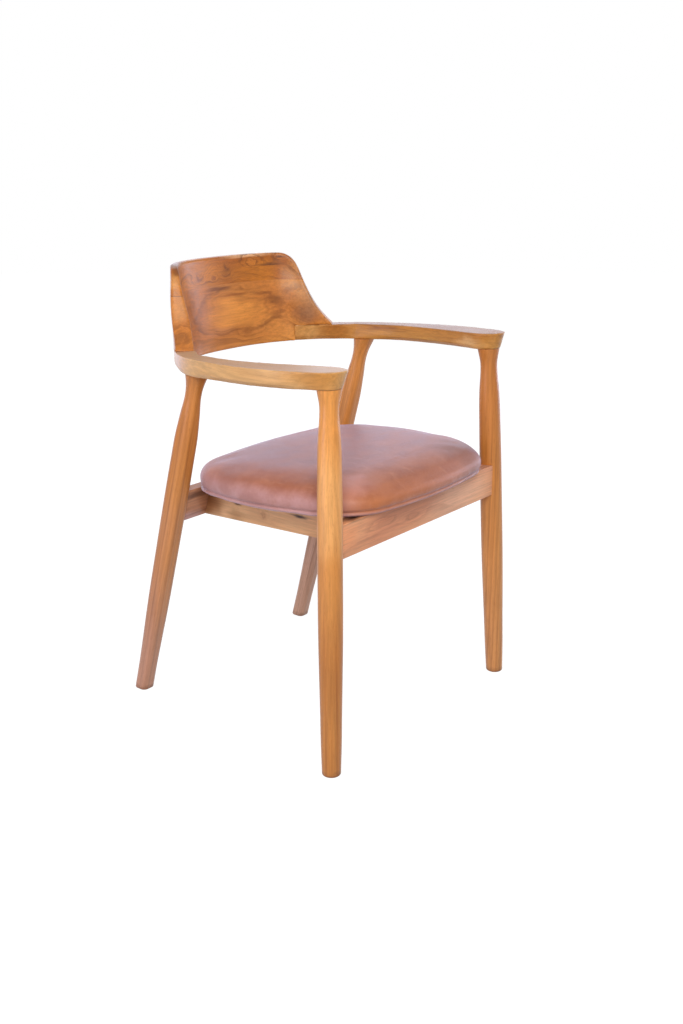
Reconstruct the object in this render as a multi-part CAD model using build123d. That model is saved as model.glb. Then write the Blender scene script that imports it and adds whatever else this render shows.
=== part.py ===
from build123d import *
import math
import os

# Frame: the sitter faces -Y, and +Z is up. Left and right are the sitter's own, so left is +X.
# The pieces are worked out about the middle of the arms' plan, and moved at the end so that
# the origin is on the floor under the middle of the chair.

# Overall sizes
chair_half_width = 264.0
arm_reach = 241.0
back_rise = 125.8
overrun = 40.0

# Arms: two slightly sloping planes bound each slab, given by their height over the origin
arm_top_height = 636.2
arm_top_slope_share = -0.042
arm_thickness = 28.2
arm_under_slope_share = -0.043
arm_joint_share = 0.5227
arm_under_round = 7.0

# Front legs: insets of the top from the arm's outer side and tip, splay and rake of the foot
front_leg_inset = 46.1
front_leg_setback = 28.3
front_splay = 26.0
front_rake_length = 21.2
front_leg_diameter = 39.2

# Rear legs: the same, with the top's place as a share of the arm's reach
rear_leg_inset = 46.8
rear_leg_place_share = 0.2589
rear_splay = 1.8
rear_rake_length = 171.5
rear_leg_width = 34.8
leg_axis_share = 0.9967
foot_round = 3.0
leg_tenon_diameter = 20.0
leg_tenon_length = 17.0
leg_tenon_clearance = 0.1

# Seat frame
rail_height = 55.5
rail_thickness = 25.0
seat_plane_front_height = 410.0
seat_slope_degrees = 2.2
side_rail_inset = 65.9
rail_tenon_height = 34.0
rail_tenon_thickness = 10.0
rail_tenon_length = 24.0
side_tenon_length = 14.0
rail_tenon_clearance = 0.1
rail_edge_round = 1.5
corner_block_leg = 42.0
corner_block_height = 32.0
corner_block_drop = 4.0

# Back boards
back_skirt = 1.6
ear_base_drop = 4.2
upper_board_width = 48.0
back_edge_round = 2.0

# Ear outline: the cut that sweeps from the back's top corner down to the arm,
# seen along a level line turned by this angle from the chair's X axis
ear_cut_degrees = 38.5
ear_cut_near = 90.0
ear_cut_far = 340.0
ear_cut_reach = 130.0
ear_foot_distance = 49.0

# Seat pad
pad_side_inset = 38.0
pad_front_overhang = 33.0
pad_rear_lap = 10.4
pad_height = 55.0
leather_thickness = 1.4
leather_turn_under = 26.0
soft_clearance = 0.3
board_thickness = 12.0
board_inset = 12.0

# Fasteners
screw_diameter = 4.5
screw_head_diameter = 9.0
screw_head_height = 3.0
screw_bite = 9.0
screw_clearance = 0.1
dowel_diameter = 8.0
dowel_length = 30.0
dowel_clearance = 0.1
# Height of the arm dowels in the arm, and place of the back dowels in the half width
arm_dowel_shares = (0.27, 0.73)
back_dowel_shares = (0.17, 0.42)
screw_place_share = 0.333

# Shares of the chair's half width and arm reach: the curved frame's plan, from its middle
# at the rear to where it becomes the straight part of the arm
inner_ear_shares = [
    (0.0, 0.852), (0.187, 0.840), (0.342, 0.799), (0.459, 0.737),
    (0.553, 0.653), (0.640, 0.549), (0.708, 0.437), (0.762, 0.308),
]
inner_top_shares = [
    (0.0, 0.931), (0.178, 0.919), (0.333, 0.884), (0.451, 0.823),
    (0.527, 0.736), (0.572, 0.632), (0.598, 0.516), (0.617, 0.399),
]
outer_ear_shares = [
    (0.0, 0.959), (0.223, 0.938), (0.406, 0.868), (0.546, 0.770),
    (0.675, 0.645), (0.781, 0.504), (0.860, 0.370), (0.912, 0.225),
]
outer_top_shares = [
    (0.0, 0.998), (0.189, 0.985), (0.352, 0.940), (0.479, 0.867),
    (0.564, 0.769), (0.617, 0.655), (0.648, 0.528), (0.672, 0.405),
]

# Shares of the same two sizes: the arm forward of the ears, outer side, tip and inner side
arm_outer_shares = [
    (0.951, 0.050), (0.981, -0.158), (0.994, -0.353), (0.989, -0.541),
    (0.972, -0.686), (0.947, -0.815),
]
arm_tip_top_shares = [
    (0.921, -0.918), (0.873, -0.980), (0.810, -1.0), (0.754, -0.973), (0.729, -0.911),
]
arm_inner_shares = [
    (0.722, -0.844), (0.735, -0.748), (0.760, -0.615), (0.795, -0.424),
    (0.818, -0.187), (0.815, 0.0), (0.792, 0.154),
]
# The underside draws in to the front leg: how far each point of the outer and the inner side
# moves towards the leg's axis, as shares of its distance from there
arm_outer_draw_shares = [0.0, 0.0, 0.0, 0.03, 0.10, 0.28]
arm_inner_draw_shares = [0.12, 0.05, 0.02, 0.0, 0.0, 0.0, 0.0]
# How much of the underside's rounding each point gets: none beside the legs
rear_inset_shares = [0.5, 0.5, 0.6, 0.4, 0.0]
arm_outer_inset_shares = [0.6, 1.0, 1.0, 1.0, 0.6, 0.1]
arm_inner_inset_shares = [0.1, 0.6, 1.0, 1.0, 1.0, 0.9, 0.3]
flare_first_degrees = -10.0
flare_step_degrees = 40.0

# Leg profiles: height as a share of the leg axis, width as a share of the leg's full width
front_leg_shares = [
    (-0.04, 0.770), (0.025, 0.800), (0.066, 0.840), (0.165, 0.888), (0.300, 0.960),
    (0.440, 1.0), (0.560, 1.0), (0.720, 0.990), (0.805, 0.957), (0.865, 0.925),
    (0.900, 0.875), (0.930, 0.800), (0.952, 0.752), (0.966, 0.743), (0.980, 0.765),
    (0.996, 0.845), (1.012, 0.940), (1.030, 1.040), (1.060, 1.220),
]
rear_leg_shares = [
    (-0.04, 0.770), (0.060, 0.820), (0.170, 0.872), (0.305, 0.958), (0.440, 0.985),
    (0.560, 1.0), (0.700, 1.0), (0.770, 0.983), (0.825, 0.955), (0.865, 0.905),
    (0.895, 0.845), (0.917, 0.785), (0.936, 0.757), (0.952, 0.770), (0.967, 0.830),
    (0.985, 0.960), (1.010, 1.160),
]
rear_corner_share = 0.70
rear_neck_corner_share = 0.96
rear_round_from_share = 0.95

# Ear outline, from the back's top edge down to the arm: shares of the back's height over
# the arms, forward (first value) and up (second value), from the foot of the sweep
ear_outline_shares = [
    (-0.815, 0.972), (-0.730, 0.911), (-0.665, 0.818), (-0.579, 0.616), (-0.495, 0.438),
    (-0.410, 0.286), (-0.325, 0.172), (-0.239, 0.077), (-0.169, 0.005), (-0.102, -0.077),
    (-0.031, -0.194), (0.037, -0.307),
]
ear_corner_share = -0.951

# Pad outline, quarter points of a soft D: shares of the pad's half width and half length
pad_rear_corner_shares = [(0.668, 0.939), (0.855, 0.807), (0.944, 0.579)]
pad_side_shares = [(1.0, 0.173), (0.953, -0.360)]
pad_front_corner_shares = [(0.846, -0.731), (0.624, -0.929)]
# Pad levels: height as a share of the pad's height, inset as a share of its half length
pad_level_shares = [
    (0.0, 0.040), (0.09, 0.012), (0.26, 0.0), (0.45, 0.004), (0.62, 0.022), (0.76, 0.054),
    (0.87, 0.115), (0.94, 0.210), (0.98, 0.360), (1.0, 0.600),
]

mirror_sides = {"left": 1, "right": -1}

# Heights and places that follow from the sizes
back_height = arm_top_height + back_rise
span = 2 * back_height
arm_under_height = arm_top_height - arm_thickness
arm_joint_x = chair_half_width * arm_joint_share
back_base_height = arm_under_height + arm_under_slope_share * arm_reach - back_skirt
ear_base_height = arm_top_height - ear_base_drop
ear_rise = back_height - ear_base_height
board_joint_height = back_height - upper_board_width
leg_axis_height = arm_under_height * leg_axis_share
front_top = (chair_half_width - front_leg_inset, front_leg_setback - arm_reach)
front_foot = (front_top[0] + front_splay, front_top[1] - front_rake_length)
rear_top = (chair_half_width - rear_leg_inset, arm_reach * rear_leg_place_share)
rear_foot = (rear_top[0] + rear_splay, rear_top[1] + rear_rake_length)
side_rail_outer_x = front_top[0] - side_rail_inset


def arm_top_z(y):
    return arm_top_height + arm_top_slope_share * y


def arm_under_z(y):
    return arm_under_height + arm_under_slope_share * y


def slope_plane(height, slope_share):
    """The plane that rises by slope_share for each unit of +Y, at this height over the origin."""
    return Plane(origin=(0, 0, height), x_dir=(1, 0, 0), z_dir=(0, -slope_share, 1))


def below(plane):
    """All of space, as far as the chair reaches, under a plane."""
    return plane * Box(span, span, span, align=(Align.CENTER, Align.CENTER, Align.MAX))


def above(plane):
    """All of space, as far as the chair reaches, over a plane."""
    return plane * Box(span, span, span, align=(Align.CENTER, Align.CENTER, Align.MIN))


def plan_points(shares):
    return [(x * chair_half_width, y * arm_reach) for x, y in shares]


def axis_at(foot, top, height):
    """The point of a leg's axis at this height."""
    share = height / leg_axis_height
    return foot[0] + (top[0] - foot[0]) * share, foot[1] + (top[1] - foot[1]) * share


def seat_height_at(y, drop=0.0):
    """The height of the rails' top at this y, less a drop."""
    return seat_top_height + seat_slope_share * y - drop


def cut(shape, tools):
    for tool in tools:
        shape -= tool
    return shape


arm_top_plane = slope_plane(arm_top_height, arm_top_slope_share)
arm_under_plane = slope_plane(arm_under_height, arm_under_slope_share)

# Seat plane: the top of all four rails, through the front rail's front top edge
rail_mid_y = axis_at(front_foot, front_top, seat_plane_front_height - rail_height / 2)[1]
rail_front_y = rail_mid_y - rail_thickness / 2
seat_slope_share = -math.tan(math.radians(seat_slope_degrees))
seat_top_height = seat_plane_front_height - seat_slope_share * rail_front_y
seat_top_plane = slope_plane(seat_top_height, seat_slope_share)
seat_under_plane = slope_plane(seat_top_height - rail_height, seat_slope_share)
front_rail_back = Plane(origin=(0, rail_front_y + rail_thickness, 0), z_dir=(0, 1, 0))
front_rail_mid_z = seat_height_at(rail_mid_y, rail_height / 2)
front_rail_centre = (0, rail_mid_y, front_rail_mid_z)
front_rail_end = axis_at(front_foot, front_top, front_rail_mid_z)[0]

# The rear rail leans with the rear legs
rear_lean_share = -rear_rake_length / leg_axis_height
rake = Vector(0, rear_lean_share, 1).normalized()
rear_rail_mid_z = seat_height_at(rear_foot[1], rail_height / 2) / (1 - seat_slope_share * rear_lean_share)
rear_rail_end, rear_rail_mid_y = axis_at(rear_foot, rear_top, rear_rail_mid_z)
rear_rail_centre = Vector(0, rear_rail_mid_y, rear_rail_mid_z)
rear_rail_forward = Vector(0, -rake.Z, rake.Y)
rear_rail_seat = rear_rail_centre + rear_rail_forward * (rail_thickness / 2)
rear_rail_front = Plane(origin=rear_rail_seat, x_dir=(1, 0, 0), z_dir=-rear_rail_forward)

# The seat pad lies on the rails
pad_front_y = rail_front_y - pad_front_overhang
pad_rear_y = rear_rail_seat.Y + pad_rear_lap
pad_half_width = chair_half_width - pad_side_inset
pad_half_length = (pad_rear_y - pad_front_y) / 2
pad_centre_y = (pad_rear_y + pad_front_y) / 2
pad_origin = (0, pad_centre_y, seat_height_at(pad_centre_y))
pad_plane = Plane(origin=pad_origin, x_dir=(1, 0, 0), z_dir=seat_top_plane.z_dir)


# Curved wall of the back, as one form, before it is split into its boards
def wall_profile(height, inner_shares, outer_shares):
    inner = [(x, y, height) for x, y in plan_points(inner_shares)]
    outer = [(x, y, height) for x, y in plan_points(outer_shares)]
    inner_full = [(-x, y, z) for x, y, z in reversed(inner[1:])] + inner
    outer_full = [(-x, y, z) for x, y, z in reversed(outer[1:])] + outer
    edges = [
        Spline(*inner_full),
        Line(inner_full[-1], outer_full[-1]),
        Spline(*reversed(outer_full)),
        Line(outer_full[0], inner_full[0]),
    ]
    return Face(Wire(edges))


def ear_cutter(side):
    """The space in front of and over an ear, on one side of the chair."""
    turn = math.radians(ear_cut_degrees)
    along = Vector(math.cos(turn), math.sin(turn), 0)
    forward = Vector(math.sin(turn), -math.cos(turn), 0)
    plane = Plane(origin=along * ear_cut_near, x_dir=forward, z_dir=-along)
    top = back_height + overrun
    outline = [
        (ear_foot_distance + u * ear_rise, ear_base_height + v * ear_rise)
        for u, v in ear_outline_shares
    ]
    corner = (ear_foot_distance + ear_corner_share * ear_rise, back_height)
    reach = ear_foot_distance + ear_cut_reach
    foot = outline[-1]
    edges = [
        Spline(corner, *outline, tangents=[(1, 0), (1, 0)]),
        Line(foot, (reach, foot[1])),
        Line((reach, foot[1]), (reach, top)),
        Line((reach, top), (corner[0], top)),
        Line((corner[0], top), corner),
    ]
    face = plane * Face(Wire(edges))
    cutter = extrude(face, amount=-(ear_cut_far - ear_cut_near))
    return cutter if side > 0 else cutter.mirror(Plane.YZ)


def between(low_shares, high_shares, share):
    """Outline part of the way from one level to the next, or past it where share is negative."""
    return [
        (x0 + (x1 - x0) * share, y0 + (y1 - y0) * share)
        for (x0, y0), (x1, y1) in zip(low_shares, high_shares)
    ]


def make_wall():
    """The back's whole wall, from under the arms to its top edge, ears swept and edges rounded."""
    down = (back_base_height - ear_base_height) / ear_rise
    base = wall_profile(
        back_base_height,
        between(inner_ear_shares, inner_top_shares, down),
        between(outer_ear_shares, outer_top_shares, down),
    )
    wall = loft([base, wall_profile(back_height, inner_top_shares, outer_top_shares)], ruled=True)
    for side in mirror_sides.values():
        wall -= ear_cutter(side)
    top_face = wall.faces().sort_by(Axis.Z)[-1]
    rims = wall.faces().filter_by(GeomType.EXTRUSION).edges() + top_face.edges()
    long_rims = [edge for edge in rims if edge.length > ear_rise]
    return fillet(long_rims, back_edge_round)


def arm_places():
    """The two blocks of space that the arms' rear ends fill, beside the back's middle."""
    place = Pos(arm_joint_x, 0, 0) * Box(span, span, span, align=(Align.MIN, Align.CENTER, Align.CENTER))
    place &= below(arm_top_plane)
    return [place, place.mirror(Plane.YZ)]


def mid_wall_point(x, height):
    """The point half-way through the back's wall at this x and height."""
    rise = (height - ear_base_height) / ear_rise
    low = [plan_points(inner_ear_shares), plan_points(outer_ear_shares)]
    high = [plan_points(inner_top_shares), plan_points(outer_top_shares)]
    ys = []
    for low_points, high_points in zip(low, high):
        line = [
            (lx + (hx - lx) * rise, ly + (hy - ly) * rise)
            for (lx, ly), (hx, hy) in zip(low_points, high_points)
        ]
        for (x0, y0), (x1, y1) in zip(line, line[1:]):
            if x0 <= x <= x1:
                ys.append(y0 + (y1 - y0) * (x - x0) / (x1 - x0))
    return sum(ys) / len(ys)


# Legs
def leg_axis_plane(foot, top):
    direction = Vector(top[0] - foot[0], top[1] - foot[1], leg_axis_height)
    return Plane(origin=(foot[0], foot[1], 0), x_dir=(1, 0, 0), z_dir=direction), direction.length


def leg_tenon_socket(foot, top, clearance):
    """The leg's round tenon, or with a clearance the hole that takes it."""
    plane, _ = leg_axis_plane(foot, top)
    direction = plane.z_dir
    reach = arm_under_z(top[1]) / direction.Z
    centre = Vector(foot[0], foot[1], 0) + direction * reach
    seat = Plane(origin=centre, x_dir=plane.x_dir, z_dir=direction)
    start = seat.offset(-overrun / 2)
    length = leg_tenon_length + overrun / 2 + clearance
    radius = leg_tenon_diameter / 2 + clearance
    return start * Cylinder(radius, length, align=(Align.CENTER, Align.CENTER, Align.MIN))


def make_front_leg(side):
    plane, length = leg_axis_plane(front_foot, front_top)
    profile = [(w * front_leg_diameter / 2, h * length) for h, w in front_leg_shares]
    low = profile[0]
    high = profile[-1]
    edges = [
        Line((0, low[1]), low),
        Spline(*profile),
        Line(high, (0, high[1])),
        Line((0, high[1]), (0, low[1])),
    ]
    blank = revolve(Plane.XZ * Face(Wire(edges)), Axis.Z)
    return finish_leg(plane * blank, front_foot, front_top, side)


def make_rear_leg(side):
    plane, length = leg_axis_plane(rear_foot, rear_top)
    neck = min(w for _, w in rear_leg_shares)
    sections = []
    for h, w in rear_leg_shares:
        width = w * rear_leg_width
        slimness = 1 - min(1, (w - neck) / (1 - neck))
        round_share = rear_corner_share
        if h > rear_leg_shares[len(rear_leg_shares) // 2][0]:
            round_share += (rear_neck_corner_share - rear_corner_share) * slimness
        if h > rear_round_from_share:
            round_share = rear_neck_corner_share
        sections.append(
            plane.offset(h * length) * RectangleRounded(width, width, width / 2 * round_share)
        )
    blank = loft([section.face() for section in sections])
    return finish_leg(blank, rear_foot, rear_top, side)


def finish_leg(blank, foot, top, side):
    """Foot cut level and rounded, shoulder cut under the arm, tenon added, mirrored."""
    leg = blank & above(Plane.XY) & below(arm_under_plane)
    leg = fillet(leg.faces().sort_by(Axis.Z)[0].edges(), foot_round)
    tenon = leg_tenon_socket(foot, top, 0.0) & above(arm_under_plane)
    leg = leg + tenon
    return leg if side > 0 else leg.mirror(Plane.YZ)


# Arms
def inset_points(points, amount, shares):
    """The points of a closed line moved inwards, each by its share of the amount."""
    moved = []
    count = len(points)
    for i, (x, y) in enumerate(points):
        before = points[max(i - 1, 0)]
        after = points[min(i + 1, count - 1)]
        along = Vector(after[0] - before[0], after[1] - before[1]).normalized()
        step = amount * shares[i]
        moved.append((x + along.Y * step, y - along.X * step))
    return moved


def arm_outline(height_of, draw_share, inset_amount):
    """Outline of the arm on one level, left side: outer side, tip, then inner side."""
    rear = len(inner_ear_shares) - len(rear_inset_shares)
    outer = plan_points(outer_ear_shares[rear:]) + plan_points(arm_outer_shares)
    inner = plan_points(arm_inner_shares) + list(reversed(plan_points(inner_ear_shares[rear:])))
    tip = plan_points(arm_tip_top_shares)
    rear_draws = [0.0] * len(rear_inset_shares)
    draws = rear_draws + arm_outer_draw_shares
    outer = [(x + (front_top[0] - x) * d * draw_share, y) for (x, y), d in zip(outer, draws)]
    draws = arm_inner_draw_shares + rear_draws
    inner = [(x + (front_top[0] - x) * d * draw_share, y) for (x, y), d in zip(inner, draws)]
    turned = [math.radians(flare_first_degrees - i * flare_step_degrees) for i in range(len(tip))]
    tip = [
        (
            x + (front_top[0] + front_leg_diameter / 2 * math.cos(turn) - x) * draw_share,
            y + (front_top[1] + front_leg_diameter / 2 * math.sin(turn) - y) * draw_share,
        )
        for (x, y), turn in zip(tip, turned)
    ]
    insets = rear_inset_shares + arm_outer_inset_shares + [0.0] * len(tip)
    insets += arm_inner_inset_shares + list(reversed(rear_inset_shares))
    points = inset_points(outer + tip + inner, inset_amount, insets)
    lift = [(x, y, height_of(y)) for x, y in points]
    return Face(Wire([Spline(*lift), Line(lift[-1], lift[0])]))


def make_arm(side):
    top = arm_outline(arm_top_z, 0.0, 0.0)
    low_share = arm_under_round / (arm_top_height - arm_under_height)
    low = arm_outline(
        lambda y: arm_under_z(y) + low_share * (arm_top_z(y) - arm_under_z(y)), 1 - low_share, 0.0
    )
    under = arm_outline(arm_under_z, 1.0, arm_under_round)
    arm = loft([under, low, top], ruled=True)
    butt = Plane(origin=(arm_joint_x, 0, 0), z_dir=(1, 0, 0))
    arm &= above(butt)
    arm -= leg_tenon_socket(front_foot, front_top, leg_tenon_clearance)
    arm -= leg_tenon_socket(rear_foot, rear_top, leg_tenon_clearance)
    return arm if side > 0 else arm.mirror(Plane.YZ)


# Seat frame
def rail_face(front_y, rear_y, rake_share):
    """Section of a cross rail: raked front and rear faces between the two seat planes."""
    corners = []
    for y in (front_y, rear_y):
        for height in (seat_top_height - rail_height, seat_top_height):
            z = (height + seat_slope_share * y) / (1 - seat_slope_share * rake_share)
            corners.append((0, y + rake_share * z, z))
    low_front, high_front, low_rear, high_rear = corners
    return Face(Wire.make_polygon([low_front, low_rear, high_rear, high_front]))


def make_cross_rail(front_y, rear_y, rake_share, half_length):
    section = rail_face(front_y, rear_y, rake_share)
    half = extrude(section, amount=half_length, dir=(1, 0, 0))
    rail = half + extrude(section, amount=half_length, dir=(-1, 0, 0))
    long_edges = rail.edges().filter_by(Axis.X)
    return fillet(long_edges, rail_edge_round)


def cross_tenons(centre, rake, half_length, clearance):
    """Both tenons of a cross rail as one bar, or with a clearance the bar that cuts mortises."""
    plane = Plane(origin=centre, x_dir=(1, 0, 0), z_dir=rake)
    return plane * Box(
        2 * (half_length + clearance),
        rail_tenon_thickness + 2 * clearance,
        rail_tenon_height + 2 * clearance,
    )


def make_side_rail(side):
    middle_x = side_rail_outer_x - rail_thickness / 2
    rail = Pos(middle_x, 0, 0) * Box(rail_thickness, span, span)
    rail = rail & below(seat_top_plane) & above(seat_under_plane)
    rail = rail & above(front_rail_back) & below(rear_rail_front)
    rail = fillet(rail.edges().sort_by(SortBy.LENGTH)[-4:], rail_edge_round)
    for tenon in side_tenons(0.0):
        rail += tenon
    return rail if side > 0 else rail.mirror(Plane.YZ)


def side_tenons(clearance):
    """The left side rail's tenons into the front and rear rails, or their mortises."""
    middle_x = side_rail_outer_x - rail_thickness / 2
    size = (
        rail_tenon_thickness + 2 * clearance,
        rail_tenon_height + 2 * clearance,
        side_tenon_length + clearance,
    )
    front_y = front_rail_back.origin.Y
    front = Plane(
        origin=(middle_x, front_y, seat_height_at(front_y, rail_height / 2)),
        x_dir=(1, 0, 0),
        z_dir=(0, -1, 0),
    )
    rear = Plane(
        origin=(middle_x, rear_rail_seat.Y, rear_rail_seat.Z),
        x_dir=(1, 0, 0),
        z_dir=rear_rail_front.z_dir,
    )
    return [plane * Box(*size, align=(Align.CENTER, Align.CENTER, Align.MIN)) for plane in (front, rear)]


def make_corner_block(side, rear):
    inner_x = side_rail_outer_x - rail_thickness
    past_rail = corner_block_leg if rear else 0
    reach = corner_block_leg + past_rail
    y = rear_rail_seat.Y + past_rail if rear else front_rail_back.origin.Y
    point_y = y - reach if rear else y + reach
    outline = Wire.make_polygon([(inner_x, y, 0), (inner_x - reach, y, 0), (inner_x, point_y, 0)])
    block = extrude(Face(outline), amount=span / 2, dir=(0, 0, 1))
    block = block & below(slope_plane(seat_top_height - corner_block_drop, seat_slope_share))
    bottom = seat_top_height - corner_block_drop - corner_block_height
    block = block & above(slope_plane(bottom, seat_slope_share))
    if rear:
        block = block & below(rear_rail_front)
    return block if side > 0 else block.mirror(Plane.YZ)


def screw_seats():
    """Where each seat screw runs: a plane under its corner block, pointing up at the seat."""
    inner_x = side_rail_outer_x - rail_thickness
    inset = corner_block_leg * screw_place_share
    drop = corner_block_drop + corner_block_height
    places = []
    for sign in mirror_sides.values():
        for y in (front_rail_back.origin.Y + inset, rear_rail_seat.Y - inset):
            origin = (sign * (inner_x - inset), y, seat_height_at(y, drop))
            places.append(Plane(origin=origin, x_dir=(1, 0, 0), z_dir=seat_top_plane.z_dir))
    return places


def make_screws(clearance):
    length = corner_block_height + corner_block_drop + leather_thickness + screw_bite + clearance
    radius = screw_diameter / 2 + clearance
    bottom = (Align.CENTER, Align.CENTER, Align.MIN)
    top = (Align.CENTER, Align.CENTER, Align.MAX)
    screws = []
    for seat in screw_seats():
        screw = seat * Cylinder(radius, length, align=bottom)
        if clearance == 0:
            screw += seat * Cylinder(screw_head_diameter / 2, screw_head_height, align=top)
        screws.append(screw)
    return screws


# Seat pad
def pad_outline(inset, height):
    """The pad's plan, a soft D of eight arcs, drawn in by inset, at a height over the rails."""
    half_width = pad_half_width - inset
    half_length = pad_half_length - inset
    corners = pad_rear_corner_shares + pad_side_shares + pad_front_corner_shares
    right_half = [(x * half_width, y * half_length) for x, y in corners]
    left_half = [(-x, y) for x, y in reversed(right_half)]
    ring = [(0, half_length)] + right_half + [(0, -half_length)] + left_half
    ring = ring[1:] + ring[:1]
    edges = []
    for i in range(0, len(ring), 2):
        edges.append(ThreePointArc(ring[i], ring[i + 1], ring[(i + 2) % len(ring)]))
    return pad_plane.offset(height) * Face(Wire(edges))


def pad_slab(inset, bottom, top):
    """A flat slab with the pad's outline drawn in by inset, between two heights over the rails."""
    return extrude(pad_outline(inset, bottom), amount=top - bottom, dir=pad_plane.z_dir)


def pad_form(inset, bottom):
    """The pad's crowned body, drawn in all round by inset, from bottom upwards."""
    levels = []
    for height_share, inset_share in pad_level_shares:
        height = max(bottom, height_share * (pad_height - inset))
        if not levels or height > levels[-1][0]:
            levels.append((height, inset + inset_share * pad_half_length))
    return loft([pad_outline(draw, height) for height, draw in levels], ruled=True)


def make_leather():
    outer = pad_form(0.0, 0.0)
    hollow = pad_form(leather_thickness, leather_thickness)
    leather = outer - hollow - pad_slab(leather_turn_under, 0.0, leather_thickness * 2)
    return cut(leather, make_screws(screw_clearance))


def make_seat_board():
    board = pad_slab(board_inset, leather_thickness, leather_thickness + board_thickness)
    return cut(board, make_screws(screw_clearance))


def make_foam():
    inset = leather_thickness + soft_clearance
    board_top = leather_thickness + board_thickness
    return pad_form(inset, inset) - pad_slab(board_inset - soft_clearance, 0.0, board_top)


# Dowels
def make_arm_dowels(clearance):
    step = dowel_diameter
    dowels = []
    for height_share in arm_dowel_shares:
        y = mid_wall_point(arm_joint_x, ear_base_height)
        low = arm_under_z(y)
        z = low + (arm_top_z(y) - low) * height_share
        before = mid_wall_point(arm_joint_x - step, ear_base_height)
        after = mid_wall_point(arm_joint_x + step, ear_base_height)
        along = Vector(2 * step, after - before, 0)
        seat = Plane(origin=(arm_joint_x, y, z), z_dir=along)
        dowel = seat * Cylinder(dowel_diameter / 2 + clearance, dowel_length + 2 * clearance)
        dowels += [dowel, dowel.mirror(Plane.YZ)]
    return dowels


def make_back_dowels(clearance):
    dowels = []
    for x_share in back_dowel_shares:
        x = x_share * chair_half_width
        y = mid_wall_point(x, board_joint_height)
        dowel = Cylinder(dowel_diameter / 2 + clearance, dowel_length + 2 * clearance)
        for sign in mirror_sides.values():
            dowels.append(Pos(sign * x, y, board_joint_height) * dowel)
    return dowels


# Assembly
nodes = {}
wall = make_wall()
arm_dowels = make_arm_dowels(0.0)
arm_dowel_holes = make_arm_dowels(dowel_clearance)
back_dowels = make_back_dowels(0.0)
back_dowel_holes = make_back_dowels(dowel_clearance)

front_tenon_end = front_rail_end - front_leg_diameter / 2 + rail_tenon_length
rear_tenon_end = rear_rail_end - rear_leg_width / 2 + rail_tenon_length
front_mortises = cross_tenons(front_rail_centre, (0, 0, 1), front_tenon_end, rail_tenon_clearance)
rear_mortises = cross_tenons(rear_rail_centre, rake, rear_tenon_end, rail_tenon_clearance)
front_rail = make_cross_rail(rail_front_y, rail_front_y + rail_thickness, 0.0, front_rail_end)
half_run = rail_thickness / 2 / rake.Z
rear_rail = make_cross_rail(
    rear_foot[1] - half_run, rear_foot[1] + half_run, rear_lean_share, rear_rail_end
)

for name, side in mirror_sides.items():
    front_leg = make_front_leg(side)
    rear_leg = make_rear_leg(side)
    front_rail -= front_leg
    rear_rail -= rear_leg
    nodes[f"front_leg_{name}"] = front_leg - front_mortises
    nodes[f"rear_leg_{name}"] = rear_leg - rear_mortises
    nodes[f"arm_{name}"] = cut(make_arm(side), arm_dowel_holes)
    nodes[f"side_rail_{name}"] = make_side_rail(side)
    for rear, end in ((False, "front"), (True, "rear")):
        block = make_corner_block(side, rear)
        nodes[f"corner_block_{end}_{name}"] = cut(block, make_screws(screw_clearance))

side_mortises = side_tenons(rail_tenon_clearance)
side_mortises += [mortise.mirror(Plane.YZ) for mortise in side_mortises]
front_rail += cross_tenons(front_rail_centre, (0, 0, 1), front_tenon_end, 0.0)
rear_rail += cross_tenons(rear_rail_centre, rake, rear_tenon_end, 0.0)
nodes["front_rail"] = cut(front_rail, side_mortises)
nodes["rear_rail"] = cut(rear_rail, side_mortises)

joint_plane = Plane(origin=(0, 0, board_joint_height), z_dir=(0, 0, 1))
lower = cut(wall & below(joint_plane) & above(arm_under_plane), arm_places())
upper = wall & above(joint_plane)
nodes["back_lower_board"] = cut(lower, arm_dowel_holes + back_dowel_holes)
nodes["back_upper_board"] = cut(upper, back_dowel_holes)
nodes["arm_dowels"] = Compound(arm_dowels)
nodes["back_dowels"] = Compound(back_dowels)

nodes["seat_leather"] = make_leather()
nodes["seat_foam"] = make_foam()
nodes["seat_board"] = make_seat_board()
nodes["seat_screws"] = Compound(make_screws(0.0))

# The frame's origin lies under the middle of the finished chair's box
boxes = [shape.bounding_box() for shape in nodes.values()]
middle_y = (min(box.min.Y for box in boxes) + max(box.max.Y for box in boxes)) / 2
nodes = {name: Pos(0, -middle_y, 0) * shape for name, shape in nodes.items()}
print("middle", round(middle_y, 3))

os.makedirs("parts", exist_ok=True)
for name, shape in nodes.items():
    export_step(shape, f"parts/{name}.step")
    print(name, round(shape.volume), len(shape.solids()))
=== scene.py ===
"""Dresses a curved-back wooden armchair: oiled teak, a domed leather seat and a pale studio."""

import logging
import math
from collections.abc import Callable
from dataclasses import dataclass, field, replace
from enum import Enum

import bmesh
import bpy
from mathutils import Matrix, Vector
from mathutils.bvhtree import BVHTree


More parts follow.
